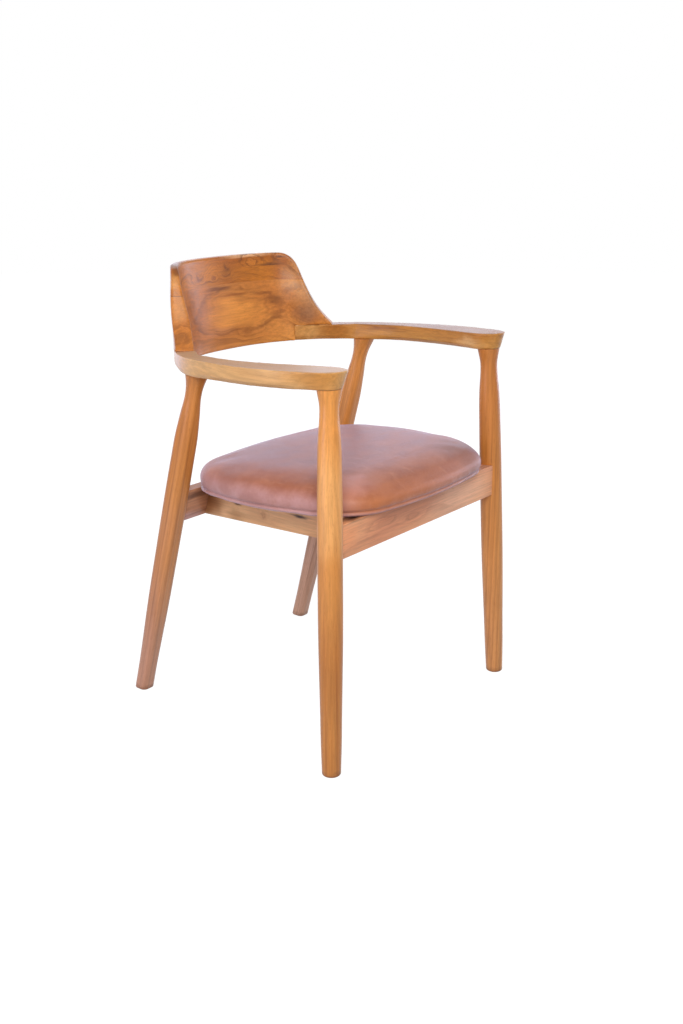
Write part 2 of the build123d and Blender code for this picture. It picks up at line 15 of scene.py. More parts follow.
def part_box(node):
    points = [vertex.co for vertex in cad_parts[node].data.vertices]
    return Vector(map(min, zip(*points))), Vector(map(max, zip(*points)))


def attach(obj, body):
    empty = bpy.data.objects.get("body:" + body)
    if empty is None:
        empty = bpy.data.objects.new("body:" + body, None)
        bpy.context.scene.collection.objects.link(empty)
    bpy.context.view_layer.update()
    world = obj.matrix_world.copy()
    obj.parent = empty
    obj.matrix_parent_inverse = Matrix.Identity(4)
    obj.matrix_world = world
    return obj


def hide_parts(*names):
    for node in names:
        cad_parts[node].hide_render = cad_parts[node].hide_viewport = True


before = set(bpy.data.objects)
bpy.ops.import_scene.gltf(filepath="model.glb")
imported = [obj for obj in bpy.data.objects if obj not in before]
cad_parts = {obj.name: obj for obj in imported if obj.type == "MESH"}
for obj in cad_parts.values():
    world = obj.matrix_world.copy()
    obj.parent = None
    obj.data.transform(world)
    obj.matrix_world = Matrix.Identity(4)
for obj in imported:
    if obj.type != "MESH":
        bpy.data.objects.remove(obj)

logging.basicConfig(level=logging.INFO, format="%(name)s: %(message)s")
log = logging.getLogger("armchair")

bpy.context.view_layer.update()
PHOTO_WIDTH = 683
PHOTO_HEIGHT = 1024
MERGE_DISTANCE = 0.00001
SMOOTH_FACTOR = 0.5
GLUE_TONE = (84, 46, 20)
MIDDLE_GREY = (0.5, 0.5, 0.5)

Colour = tuple[float, float, float]
Triple = tuple[float, float, float]
Span = tuple[float, float]
Socket = bpy.types.NodeSocket
Node = bpy.types.Node


class Side(Enum):
    """A side of the chair, as its sitter names it."""

    LEFT = "left"
    RIGHT = "right"


def linear(colour: Colour) -> tuple[float, float, float, float]:
    """Turns a colour as a screen shows it into the linear values that shaders take.

    Args:
        colour: red, green and blue, each 0 to 255.

    Returns:
        The same in linear values, each 0 to 1, with an alpha of 1.
    """
    parts = []
    for part in colour:
        share = part / 255
        parts.append(share / 12.92 if share <= 0.04045 else ((share + 0.055) / 1.055) ** 2.4)
    return (*parts, 1.0)


class Sheet:
    """A node tree, with short calls for adding nodes and joining their sockets."""

    def __init__(self, tree: bpy.types.NodeTree) -> None:
        """Empties the tree.

        Args:
            tree: the node tree of a material, a world or a node group.
        """
        self.tree = tree
        self.tree.nodes.clear()

    def add(self, kind: str, **settings: object) -> Node:
        """Adds a node and sets its properties.

        Args:
            kind: the node's type without its ShaderNode prefix.
            settings: values for the node's own properties.

        Returns:
            The new node.
        """
        prefix = "" if kind.startswith("NodeGroup") else "ShaderNode"
        node = self.tree.nodes.new(prefix + kind)
        for name, value in settings.items():
            setattr(node, name, value)
        return node

    def feed(self, socket: Socket, value: object) -> None:
        """Joins another node's output to a socket, or sets the socket to a plain value.

        Args:
            socket: the input socket.
            value: an output socket, or a number, vector or colour.
        """
        if isinstance(value, Socket):
            self.tree.links.new(value, socket)
        else:
            socket.default_value = value

    def give(self, node: Node, **values: object) -> Node:
        """Feeds a node's inputs by their names.

        Args:
            node: the node.
            values: what each input gets, with underscores for spaces in its name.

        Returns:
            The same node.
        """
        for name, value in values.items():
            self.feed(node.inputs[name.replace("_", " ")], value)
        return node

    def group(self, tree: bpy.types.NodeTree, **values: object) -> Node:
        """Places a node group and feeds its inputs, as give does."""
        return self.give(self.add("Group", node_tree=tree), **values)

    def maths(self, operation: str, *values: object, clamp: bool = False) -> Socket:
        """Works out one number from up to three.

        Args:
            operation: the Math node's operation.
            values: the numbers.
            clamp: whether the result is kept from 0 to 1.

        Returns:
            The result's socket.
        """
        node = self.add("Math", operation=operation, use_clamp=clamp)
        for socket, value in zip(node.inputs, values):
            self.feed(socket, value)
        return node.outputs[0]

    def vector(self, operation: str, *values: object) -> Socket:
        """Works out one vector, or a length, from up to three vectors.

        Args:
            operation: the Vector Math node's operation.
            values: the vectors.

        Returns:
            The result's socket.
        """
        node = self.add("VectorMath", operation=operation)
        slots = [socket for socket in node.inputs if socket.type == "VECTOR"]
        for socket, value in zip(slots, values):
            self.feed(socket, value)
        return node.outputs["Value" if operation in ("LENGTH", "DOT_PRODUCT") else "Vector"]

    def scaled(self, vector: object, amount: object) -> Socket:
        """Multiplies a vector by one number.

        Args:
            vector: the vector.
            amount: the number.

        Returns:
            The result's socket.
        """
        node = self.add("VectorMath", operation="SCALE")
        self.feed(node.inputs[0], vector)
        self.feed(node.inputs["Scale"], amount)
        return node.outputs["Vector"]

    def split(self, vector: Socket) -> Node:
        """Parts a vector into the outputs X, Y and Z of a node."""
        return self.give(self.add("SeparateXYZ"), Vector=vector)

    def facing(self) -> Node:
        """Parts the direction that the surface faces into the outputs X, Y and Z of a node."""
        return self.split(self.add("NewGeometry").outputs["Normal"])

    def ease(
        self, value: object, low: float, high: float, out_low: object = 0.0, out_high: object = 1.0
    ) -> Socket:
        """Makes a smooth step of a value.

        Args:
            value: the value.
            low: where the step begins.
            high: where it ends, which may be lower than where it begins.
            out_low: the result where it begins.
            out_high: the result where it ends.

        Returns:
            The result's socket.
        """
        node = self.add("MapRange", interpolation_type="SMOOTHSTEP")
        self.give(node, Value=value, From_Min=low, From_Max=high, To_Min=out_low, To_Max=out_high)
        return node.outputs["Result"]

    def band(self, value: object, rise: Span, fall: Span) -> Socket:
        """Makes a band of a value, 1 in its middle and 0 to both sides.

        Args:
            value: the value.
            rise: where the band leaves 0, and where it reaches 1.
            fall: where the band is back at 0, and where it leaves 1.

        Returns:
            The band's socket.
        """
        return self.maths("MULTIPLY", self.ease(value, *rise), self.ease(value, *fall))

    def mix(self, share: object, first: object, second: object, blend: str = "MIX") -> Socket:
        """Mixes two colours.

        Args:
            share: how much of the second there is, 0 to 1.
            first: the first colour.
            second: the second colour.
            blend: the Mix node's way of blending.

        Returns:
            The mixed colour's socket.
        """
        node = self.add("Mix", data_type="RGBA", blend_type=blend)
        self.feed(node.inputs["Factor"], share)
        colours = [socket for socket in node.inputs if socket.type == "RGBA"]
        self.feed(colours[0], first)
        self.feed(colours[1], second)
        return [socket for socket in node.outputs if socket.type == "RGBA"][0]

    def stain(self, colour: Socket, tone: Colour, mask: object, strength: object) -> Socket:
        """Stains a colour with a tone.

        Args:
            colour: the colour.
            tone: the stain's tone, as a screen shows it.
            mask: where it lies, 0 to 1.
            strength: how far it covers the colour there, 0 to 1.

        Returns:
            The stained colour's socket.
        """
        return self.mix(self.maths("MULTIPLY", mask, strength), colour, linear(tone))

    def noise(self, vector: object, scale: object, detail: float = 2.0, roughness: float = 0.5) -> Node:
        """Adds a noise.

        Args:
            vector: the place at which it is read.
            scale: how fine it is.
            detail: how many finer layers it has.
            roughness: how strong these are.

        Returns:
            The noise node.
        """
        node = self.add("TexNoise", noise_dimensions="3D")
        return self.give(node, Vector=vector, Scale=scale, Detail=detail, Roughness=roughness)

    def sway(self, vector: object, scale: object, detail: float, amount: object) -> Socket:
        """Makes a slow random shift in all directions.

        Args:
            vector: the place at which the shift is read.
            scale: how fine its changes are.
            detail: how many finer layers it has.
            amount: how far it goes.

        Returns:
            The shift's socket.
        """
        bend = self.noise(vector, scale, detail)
        return self.scaled(self.vector("SUBTRACT", bend.outputs["Color"], MIDDLE_GREY), amount)


def new_group(name: str, inputs: dict[str, str], outputs: dict[str, str]) -> tuple[Sheet, Node, Node]:
    """Makes an empty node group with its sockets.

    Args:
        name: the group's name.
        inputs: socket names and their kinds, Float, Vector or Color.
        outputs: the same for what the group puts out.

    Returns:
        The sheet, its input node and its output node.
    """
    tree = bpy.data.node_groups.new(name, "ShaderNodeTree")
    for way, sockets in (("INPUT", inputs), ("OUTPUT", outputs)):
        for label, kind in sockets.items():
            tree.interface.new_socket(label, in_out=way, socket_type="NodeSocket" + kind)
    sheet = Sheet(tree)
    return sheet, sheet.add("NodeGroupInput"), sheet.add("NodeGroupOutput")


class Effects:
    """The node groups that several finishes share, each built once."""

    def __init__(self) -> None:
        """Builds every group."""
        self.knot = self.make_knot()
        self.rings = self.make_rings()
        self.fibres = self.make_fibres()
        self.line = self.make_line()
        self.pebbles = self.make_pebbles()

    def make_knot(self) -> bpy.types.NodeTree:
        """A swelling of the growth rings round a point, as a knot or a wide oval figure makes.

        Returns:
            The group.
        """
        sheet, given, put = new_group(
            "knot_swell",
            {"Vector": "Vector", "Centre": "Vector", "Reach": "Vector", "Lift": "Float"},
            {"Lift": "Float", "Core": "Float", "Rim": "Float"},
        )
        away = sheet.vector("SUBTRACT", given.outputs["Vector"], given.outputs["Centre"])
        away = sheet.vector("DIVIDE", away, given.outputs["Reach"])
        away = sheet.vector("ADD", away, sheet.sway(away, scale=1.1, detail=2.0, amount=1.1))
        distance = sheet.vector("LENGTH", away)
        square = sheet.maths("MULTIPLY", distance, distance)
        fall = sheet.maths("EXPONENT", sheet.maths("MULTIPLY", square, -1.0))
        outer = sheet.band(distance, rise=(0.74, 0.94), fall=(1.06, 0.97))
        inner = sheet.band(distance, rise=(0.60, 0.70), fall=(0.78, 0.72))
        both = sheet.maths("MULTIPLY_ADD", inner, 0.5, outer)
        patch = sheet.noise(away, 2.3)
        broken = sheet.ease(patch.outputs["Fac"], 0.40, 0.58, 0.25, 1.0)
        sheet.give(
            put,
            Lift=sheet.maths("MULTIPLY", fall, given.outputs["Lift"]),
            Core=sheet.ease(distance, 1.0, 0.15),
            Rim=sheet.maths("MULTIPLY", both, broken),
        )
        return sheet.tree

    def make_rings(self) -> bpy.types.NodeTree:
        """Growth rings cut by the surface: dark late wood that ends sharply, and slow colour.

        Returns:
            The group.
        """
        sheet, given, put = new_group(
            "growth_rings",
            {
                "Vector": "Vector",
                "Spacing": "Float",
                "Lift": "Float",
                "Wander": "Float",
                "Wander Scale": "Float",
                "Run": "Float",
                "Force": "Float",
            },
            {"Late": "Float", "Fine": "Float", "Slow": "Float", "Warmth": "Float"},
        )
        at = given.outputs["Vector"]
        slowness = sheet.give(sheet.add("CombineXYZ"), X=given.outputs["Run"], Y=1.0, Z=1.0)
        slow_at = sheet.vector("MULTIPLY", at, slowness.outputs["Vector"])
        sway = sheet.sway(slow_at, given.outputs["Wander Scale"], 2.5, given.outputs["Wander"])
        taper = (0.05, 1.0, 1.0)
        across = sheet.vector("MULTIPLY", sheet.vector("ADD", at, sway), taper)
        phase = sheet.maths("DIVIDE", sheet.vector("LENGTH", across), given.outputs["Spacing"])
        phase = sheet.maths("ADD", phase, given.outputs["Lift"])
        late = sheet.band(sheet.maths("FRACT", phase), rise=(0.45, 0.90), fall=(1.0, 0.93))
        each = sheet.add("TexWhiteNoise", noise_dimensions="1D")
        sheet.give(each, W=sheet.maths("FLOOR", phase))
        patch = sheet.noise(slow_at, 22.0)
        strength = sheet.maths(
            "MULTIPLY",
            sheet.ease(patch.outputs["Fac"], 0.38, 0.62, 0.12, 1.0),
            sheet.maths("MULTIPLY_ADD", each.outputs["Value"], 0.75, 0.25),
        )
        strength = sheet.maths("MAXIMUM", strength, given.outputs["Force"])
        fine_lines_to_a_ring = 4.3
        minor = sheet.maths("FRACT", sheet.maths("MULTIPLY", phase, fine_lines_to_a_ring))
        slow = sheet.noise(slow_at, 9.0, 3.0, 0.55)
        elsewhere = (3.1, 1.7, 5.3)
        warmth = sheet.noise(sheet.vector("ADD", slow_at, elsewhere), 6.0)
        sheet.give(
            put,
            Late=sheet.maths("MULTIPLY", late, strength),
            Fine=sheet.band(minor, rise=(0.3, 0.9), fall=(1.0, 0.92)),
            Slow=sheet.ease(slow.outputs["Fac"], 0.34, 0.66),
            Warmth=sheet.ease(warmth.outputs["Fac"], 0.36, 0.64),
        )
        return sheet.tree

    def make_fibres(self) -> bpy.types.NodeTree:
        """Fine streaks and open pores, long in the grain's direction.

        Returns:
            The group.
        """
        sheet, given, put = new_group(
            "wood_fibres",
            {"Vector": "Vector", "Fineness": "Float"},
            {"Streak": "Float", "Pore": "Float"},
        )
        at = sheet.scaled(given.outputs["Vector"], given.outputs["Fineness"])
        streaks_to_a_metre = (9.0, 230.0, 230.0)
        pores_to_a_metre = (55.0, 1500.0, 1500.0)
        streak = sheet.noise(sheet.vector("MULTIPLY", at, streaks_to_a_metre), 1.0, 4.0, 0.62)
        pore = sheet.noise(sheet.vector("MULTIPLY", at, pores_to_a_metre), 1.0, 1.0)
        sheet.give(
            put,
            Streak=sheet.ease(streak.outputs["Fac"], 0.30, 0.70),
            Pore=sheet.ease(pore.outputs["Fac"], 0.62, 0.74),
        )
        return sheet.tree

    def make_line(self) -> bpy.types.NodeTree:
        """A thin line where a plane cuts the surface, such as a glue line.

        Returns:
            The group.
        """
        sheet, given, put = new_group(
            "glue_line",
            {
                "Vector": "Vector",
                "Normal": "Vector",
                "Distance": "Float",
                "Half Width": "Float",
                "Top": "Float",
                "From X": "Float",
            },
            {"Line": "Float"},
        )
        along = sheet.vector("DOT_PRODUCT", given.outputs["Vector"], given.outputs["Normal"])
        off = sheet.maths("ABSOLUTE", sheet.maths("SUBTRACT", along, given.outputs["Distance"]))
        share = sheet.maths("DIVIDE", off, given.outputs["Half Width"])
        split = sheet.split(given.outputs["Vector"])
        below = sheet.maths("LESS_THAN", split.outputs["Z"], given.outputs["Top"])
        line = sheet.maths("MULTIPLY", sheet.ease(share, 1.0, 0.35), below)
        outside = sheet.maths("ABSOLUTE", split.outputs["X"])
        outside = sheet.maths("SUBTRACT", outside, given.outputs["From X"])
        fade = 0.012
        clear = sheet.ease(outside, -fade, fade, 0.15, 1.0)
        sheet.give(put, Line=sheet.maths("MULTIPLY", line, clear))
        return sheet.tree

    def make_pebbles(self) -> bpy.types.NodeTree:
        """Leather's fine pebbles, the creases between them, and slow changes of its tone.

        Returns:
            The group.
        """
        sheet, given, put = new_group(
            "leather_pebbles",
            {"Vector": "Vector", "Pebbles": "Float"},
            {"Height": "Float", "Crease": "Float", "Tone": "Float", "Rub": "Float"},
        )
        at = given.outputs["Vector"]
        warp = sheet.noise(at, 60.0)
        shifted = sheet.vector("ADD", at, sheet.scaled(warp.outputs["Color"], 0.004))
        cells = sheet.add("TexVoronoi", feature="DISTANCE_TO_EDGE")
        sheet.give(cells, Vector=shifted, Scale=given.outputs["Pebbles"])
        pebble = sheet.ease(cells.outputs["Distance"], 0.0, 0.28)
        fine = sheet.noise(at, 1400.0, 2.0, 0.6)
        broad = sheet.noise(at, 70.0, 4.0, 0.6)
        height = sheet.maths("MULTIPLY_ADD", fine.outputs["Fac"], 0.35, pebble)
        height = sheet.maths("MULTIPLY_ADD", broad.outputs["Fac"], 2.5, height)
        wide = (1.0, 1.6, 1.6)
        deep = (2.6, 1.0, 1.0)
        tone = sheet.noise(sheet.vector("MULTIPLY", at, wide), 11.0, 5.0, 0.62)
        rub = sheet.noise(sheet.vector("MULTIPLY", at, deep), 26.0, 4.0, 0.65)
        sheet.give(
            put,
            Height=height,
            Crease=sheet.maths("SUBTRACT", 1.0, pebble),
            Tone=sheet.ease(tone.outputs["Fac"], 0.34, 0.66),
            Rub=sheet.ease(rub.outputs["Fac"], 0.50, 0.72),
        )
        return sheet.tree


class GrainWay(Enum):
    """The direction of a piece's grain, as the turn that lays the chair's axes along it."""

    ACROSS = (0.0, 0.0, 0.0)
    FORWARD = (0.0, 0.0, 90.0)
    UPRIGHT = (0.0, 90.0, 0.0)
    RAKED = (0.0, 74.3, 90.0)


@dataclass(frozen=True)
class Knot:
    """A knot or oval in the wood's figure, or a patch of another tone on any surface.

    Attributes:
        centre: its place in the chair's frame, in metres.
        reach: how far it spreads along each of the chair's axes.
        lift: how many rings it adds at its middle.
        core: how far its own tone covers its middle, 0 to 1.
        tone: that tone, as a screen shows it.
        force: how dark its rings are at least, 0 to 1.
        calm: how far it quiets the rings over its middle, 0 to 1.
        rim: how dark the line round it is, 0 to 1.
    """

    centre: Triple
    reach: Triple
    lift: float
    core: float
    tone: Colour
    force: float = 0.0
    calm: float = 0.0
    rim: float = 0.0


Swell = tuple[Knot, Socket, Socket]


@dataclass(frozen=True)
class GlueLine:
    """The thin dark line of a glued joint.

    Attributes:
        normal: the direction square to the joint.
        distance: how far the joint lies along it from the chair's origin.
        top: the height at which the line ends.
        from_x: how far out it shows clearly.
        half_width: half the line's width.
        dark: how dark it is, 0 to 1.
    """

    normal: Triple
    distance: float
    top: float = 2.0
    from_x: float = -0.1
    half_width: float = 0.0007
    dark: float = 0.6


@dataclass(frozen=True)
class Gloss:
    """How a finish shines, and how rough its surface feels.

    Attributes:
        specular: the strength of its plain reflection.
        sheen: how strong its soft sheen is, 0 to 1.
        sheen_roughness: how far that sheen spreads.
        sheen_tint: that sheen's linear colour.
        coat: how far a clear coat covers it, 0 to 1.
        coat_roughness: that coat's roughness.
        metallic: 1 for a metal, else 0.
        relief: how strong its bumps are, 0 to 1.
        depth: how high its bumps are, in metres.
    """

    specular: float = 0.5
    sheen: float = 0.0
    sheen_roughness: float = 0.5
    sheen_tint: Triple = (1.0, 1.0, 1.0)
    coat: float = 0.0
    coat_roughness: float = 0.03
    metallic: float = 0.0
    relief: float = 0.3
    depth: float = 0.0003


class FinishSheet(Sheet):
    """The node tree of one finish, which reads the chair's own coordinates."""

    def __init__(self, name: str) -> None:
        """Makes the material.

        Args:
            name: the material's name.
        """
        self.material = bpy.data.materials.new(name)
        self.material.use_nodes = True
        super().__init__(self.material.node_tree)
        self.place = self.add("TexCoord").outputs["Object"]

    def knot(self, effects: Effects, knot: Knot) -> Node:
        """Places one knot or patch.

        Args:
            effects: the shared node groups.
            knot: the knot.

        Returns:
            Its group node.
        """
        return self.group(
            effects.knot, Vector=self.place, Centre=knot.centre, Reach=knot.reach, Lift=knot.lift
        )

    def surface(
        self, colour: Socket, roughness: Socket, height: Socket, gloss: Gloss
    ) -> bpy.types.Material:
        """Ends the tree in one shader.

        Args:
            colour: the surface's colour.
            roughness: its roughness.
            height: the height of its bumps, 0 to about 1.
            gloss: how it shines.

        Returns:
            The finished material.
        """
        bump = self.add("Bump")
        self.give(bump, Strength=gloss.relief, Distance=gloss.depth, Height=height)
        shader = self.give(
            self.add("BsdfPrincipled"),
            Base_Color=colour,
            Roughness=roughness,
            Metallic=gloss.metallic,
            Specular_IOR_Level=gloss.specular,
            Sheen_Weight=gloss.sheen,
            Sheen_Roughness=gloss.sheen_roughness,
            Sheen_Tint=(*gloss.sheen_tint, 1.0),
            Coat_Weight=gloss.coat,
            Coat_Roughness=gloss.coat_roughness,
            Normal=bump.outputs["Normal"],
        )
        self.give(self.add("OutputMaterial"), Surface=shader.outputs["BSDF"])
        return self.material


@dataclass(frozen=True)
class WoodTones:
    """The tones of one cut of wood, as a screen shows them.

    Attributes:
        pale, mid, deep: the early wood, from its palest to its darkest.
        line: the dark late wood.
        warm: the redder streaks.
    """

    pale: Colour
    mid: Colour
    deep: Colour
    line: Colour
    warm: Colour


@dataclass(frozen=True)
class TeakFinish:
    """Oiled teak for one kind of piece, with its own cut from the log.

    Attributes:
        name: the material's name.
        way: the direction of the grain.
        heart: where the log's heart lies, in the chair's frame.
        tones: the wood's tones.
        spacing: the distance between growth rings.
        wander: how far the rings sway.
        contrast: how dark the rings are, 0 to 1.
        wander_scale: how often they sway.
        run: how much slower all that changes along the grain, as a share.
        fine: how dark the fine lines between them are, 0 to 1.
        knots: the figure's knots, ovals and patches.
        glue: the glued joints that show.
        top_tone: the tone that upward faces are shifted to, if any.
        top_share: how far they are shifted to it, 0 to 1.
        worn_foot: the height of the foot that wear has darkened.
        foot_tone: the tone of that foot.
        roughness: the oiled surface's roughness.
        gloss: how the oiled surface shines.
    """

    name: str
    way: GrainWay
    heart: Triple
    tones: WoodTones
    spacing: float
    wander: float
    contrast: float
    wander_scale: float = 5.0
    run: float = 0.15
    fine: float = 0.22
    knots: tuple[Knot, ...] = ()
    glue: tuple[GlueLine, ...] = ()
    top_tone: Colour | None = None
    top_share: float = 0.8
    worn_foot: float = 0.0
    foot_tone: Colour = (112, 66, 40)
    roughness: float = 0.38
    gloss: Gloss = Gloss(
        specular=0.29,
        sheen=0.14,
        sheen_roughness=0.22,
        sheen_tint=(0.50, 0.78, 1.0),
        coat=0.12,
        coat_roughness=0.22,
        relief=0.20,
    )

    def make(self, effects: Effects) -> bpy.types.Material:
        """Builds the material.

        Args:
            effects: the shared node groups.

        Returns:
            The finished material.
        """
        sheet = FinishSheet(self.name)
        turn = sheet.add("Mapping", vector_type="TEXTURE")
        angles = [math.radians(angle) for angle in self.way.value]
        sheet.give(turn, Vector=sheet.place, Location=self.heart, Rotation=angles)
        grain = turn.outputs["Vector"]
        lift: object = 0.0
        force: object = 0.0
        swells: list[Swell] = []
        for knot in self.knots:
            node = sheet.knot(effects, knot)
            lift = sheet.maths("ADD", lift, node.outputs["Lift"])
            force = sheet.maths("MULTIPLY_ADD", node.outputs["Core"], knot.force, force)
            swells.append((knot, node.outputs["Core"], node.outputs["Rim"]))
        rings = sheet.group(
            effects.rings,
            Vector=grain,
            Spacing=self.spacing,
            Lift=lift,
            Wander=self.wander,
            Wander_Scale=self.wander_scale,
            Run=self.run,
            Force=force,
        )
        fibres = sheet.group(effects.fibres, Vector=grain, Fineness=1.0)
        streak = fibres.outputs["Streak"]
        pore = fibres.outputs["Pore"]
        colour = self.colour(sheet, rings, fibres, swells)
        colour = self.marks(sheet, effects, colour)
        rough = sheet.maths("MULTIPLY_ADD", streak, 0.10, self.roughness - 0.05)
        rough = sheet.maths("MULTIPLY_ADD", pore, 0.12, rough)
        height = sheet.maths("MULTIPLY_ADD", pore, -1.0, streak)
        height = sheet.maths("MULTIPLY_ADD", rings.outputs["Late"], 0.4, height)
        return sheet.surface(colour, rough, height, self.gloss)

    def colour(self, sheet: Sheet, rings: Node, fibres: Node, swells: list[Swell]) -> Socket:
        """Mixes the tones of the wood.

        Args:
            sheet: the material's node tree.
            rings: the growth rings' group node.
            fibres: the fibres' group node.
            swells: each knot with the sockets of its middle and its rim.

        Returns:
            The colour's socket.
        """
        tones = self.tones
        colour = sheet.mix(rings.outputs["Slow"], linear(tones.deep), linear(tones.pale))
        colour = sheet.mix(0.30, colour, linear(tones.mid))
        colour = sheet.stain(colour, tones.warm, rings.outputs["Warmth"], 0.30)
        for knot, core, _ in swells:
            colour = sheet.stain(colour, knot.tone, core, knot.core)
        if self.top_tone:
            # upward faces are shifted to another tone
            upward = sheet.ease(sheet.facing().outputs["Z"], 0.70, 0.95)
            colour = sheet.stain(colour, self.top_tone, upward, self.top_share)
        force: object = self.contrast
        for knot, core, rim in swells:
            if knot.calm:
                quiet = sheet.maths("MULTIPLY_ADD", core, -knot.calm, 1.0)
                force = sheet.maths("MULTIPLY", force, quiet)
            if knot.rim:
                colour = sheet.stain(colour, tones.line, rim, knot.rim)
        fine = sheet.maths("MULTIPLY", rings.outputs["Fine"], self.fine)
        colour = sheet.stain(colour, tones.line, fine, force)
        colour = sheet.stain(colour, tones.line, rings.outputs["Late"], force)
        streak = sheet.maths("MULTIPLY_ADD", fibres.outputs["Streak"], 0.24, 0.86)
        shade = sheet.give(sheet.add("CombineColor"), Red=streak, Green=streak, Blue=streak)
        colour = sheet.mix(1.0, colour, shade.outputs["Color"], "MULTIPLY")
        return sheet.stain(colour, tones.line, fibres.outputs["Pore"], 0.35)

    def marks(self, sheet: FinishSheet, effects: Effects, colour: Socket) -> Socket:
        """Adds the glue lines and the foot's wear to the wood's colour.

        Args:
            sheet: the material's node tree.
            effects: the shared node groups.
            colour: the wood's colour.

        Returns:
            The colour's socket.
        """
        for joint in self.glue:
            line = sheet.group(
                effects.line,
                Vector=sheet.place,
                Normal=joint.normal,
                Distance=joint.distance,
                Half_Width=joint.half_width,
                Top=joint.top,
                From_X=joint.from_x,
            )
            colour = sheet.stain(colour, GLUE_TONE, line.outputs["Line"], joint.dark)
        if self.worn_foot:
            spots = sheet.noise(sheet.place, 130.0, 4.0, 0.65)
            over = sheet.split(sheet.place).outputs["Z"]
            height = sheet.maths("MULTIPLY_ADD", spots.outputs["Fac"], self.worn_foot, over)
            wear_and_painted_light = sheet.ease(height, self.worn_foot * 1.1, self.worn_foot * 0.45)
            colour = sheet.stain(colour, self.foot_tone, wear_and_painted_light, 0.6)
        return colour


@dataclass(frozen=True)
class LeatherFinish:
    """Smooth brown seat leather, with a painted lavender-grey sheen on its right side.

    Attributes:
        name: the material's name.
        pale, mid, deep: the leather's tones, as a screen shows them.
        rubbed: its tone where it is rubbed.
        edge: the paler tone of its rolled lower rim, partly rubbed leather and partly a painted
            highlight.
        painted_sheen: the tone of the painted lavender-grey sheen on its right side.
        wear_and_painted_light: its warmer tone on the faces that look to the front, painted warm light.
        pebbles: how many pebbles there are to a metre.
        painted_light_patches: darker and paler spots: two painted dark reflections and a painted
            highlight.
        gloss: how it shines.
    """

    name: str = "seat_leather_brown"
    pale: Colour = (190, 122, 86)
    mid: Colour = (170, 102, 68)
    deep: Colour = (144, 80, 52)
    rubbed: Colour = (204, 142, 112)
    edge: Colour = (184, 150, 156)
    painted_sheen: Colour = (186, 152, 158)
    wear_and_painted_light: Colour = (196, 116, 58)
    pebbles: float = 620.0
    painted_light_patches: tuple[Knot, ...] = (
        # painted light: a dark reflection, a pale highlight, and a dark reflection of the far leg
        Knot((-0.150, -0.020, 0.454), (0.060, 0.090, 0.06), 0.0, 0.4, (140, 76, 42)),
        Knot((-0.150, -0.195, 0.458), (0.050, 0.050, 0.04), 0.0, 0.5, (206, 152, 146)),
        Knot((0.125, -0.225, 0.446), (0.085, 0.080, 0.06), 0.0, 0.60, (124, 72, 42)),
    )
    gloss: Gloss = Gloss(
        specular=0.36,
        sheen=0.46,
        sheen_roughness=0.40,
        sheen_tint=(0.68, 0.72, 1.0),
        depth=0.0004,
    )

    def make(self, effects: Effects) -> bpy.types.Material:
        """Builds the material.

        Args:
            effects: the shared node groups.

        Returns:
            The finished material.
        """
        sheet = FinishSheet(self.name)
        skin = sheet.group(effects.pebbles, Vector=sheet.place, Pebbles=self.pebbles)
        tone = skin.outputs["Tone"]
        crease = skin.outputs["Crease"]
        colour = sheet.mix(tone, linear(self.deep), linear(self.pale))
        colour = sheet.mix(0.35, colour, linear(self.mid))
        colour = sheet.stain(colour, self.rubbed, skin.outputs["Rub"], 0.35)
        colour = sheet.stain(colour, self.deep, crease, 0.35)
        facing = sheet.facing()
        # painted sheen: faces that look to the right take a lavender-grey tone, as a reflection would
        # give them
        painted_sheen_side = sheet.ease(facing.outputs["X"], -0.40, -1.0, 0.0, 0.52)
        cloudy = sheet.ease(tone, 0.0, 1.0, 0.6, 1.0)
        colour = sheet.stain(colour, self.painted_sheen, painted_sheen_side, cloudy)
        # painted warm light: faces that look to the front take a warmer tone
        to_the_front = sheet.ease(facing.outputs["Y"], -0.35, -0.95)
        colour = sheet.stain(colour, self.wear_and_painted_light, to_the_front, 0.40)
        # painted light: darker spots stand in for reflections of the legs, a paler one for a highlight
        for patch in self.painted_light_patches:
            node = sheet.knot(effects, patch)
            colour = sheet.stain(colour, patch.tone, node.outputs["Core"], patch.core)
        # the rolled rim's paler tone: partly rubbed leather, partly a painted highlight
        rim = sheet.add("Attribute", attribute_name="rim")
        colour = sheet.stain(colour, self.edge, rim.outputs["Fac"], 0.55)
        rough = sheet.maths("MULTIPLY_ADD", tone, 0.10, 0.34)
        rough = sheet.maths("MULTIPLY_ADD", crease, 0.10, rough)
        return sheet.surface(colour, rough, skin.outputs["Height"], self.gloss)


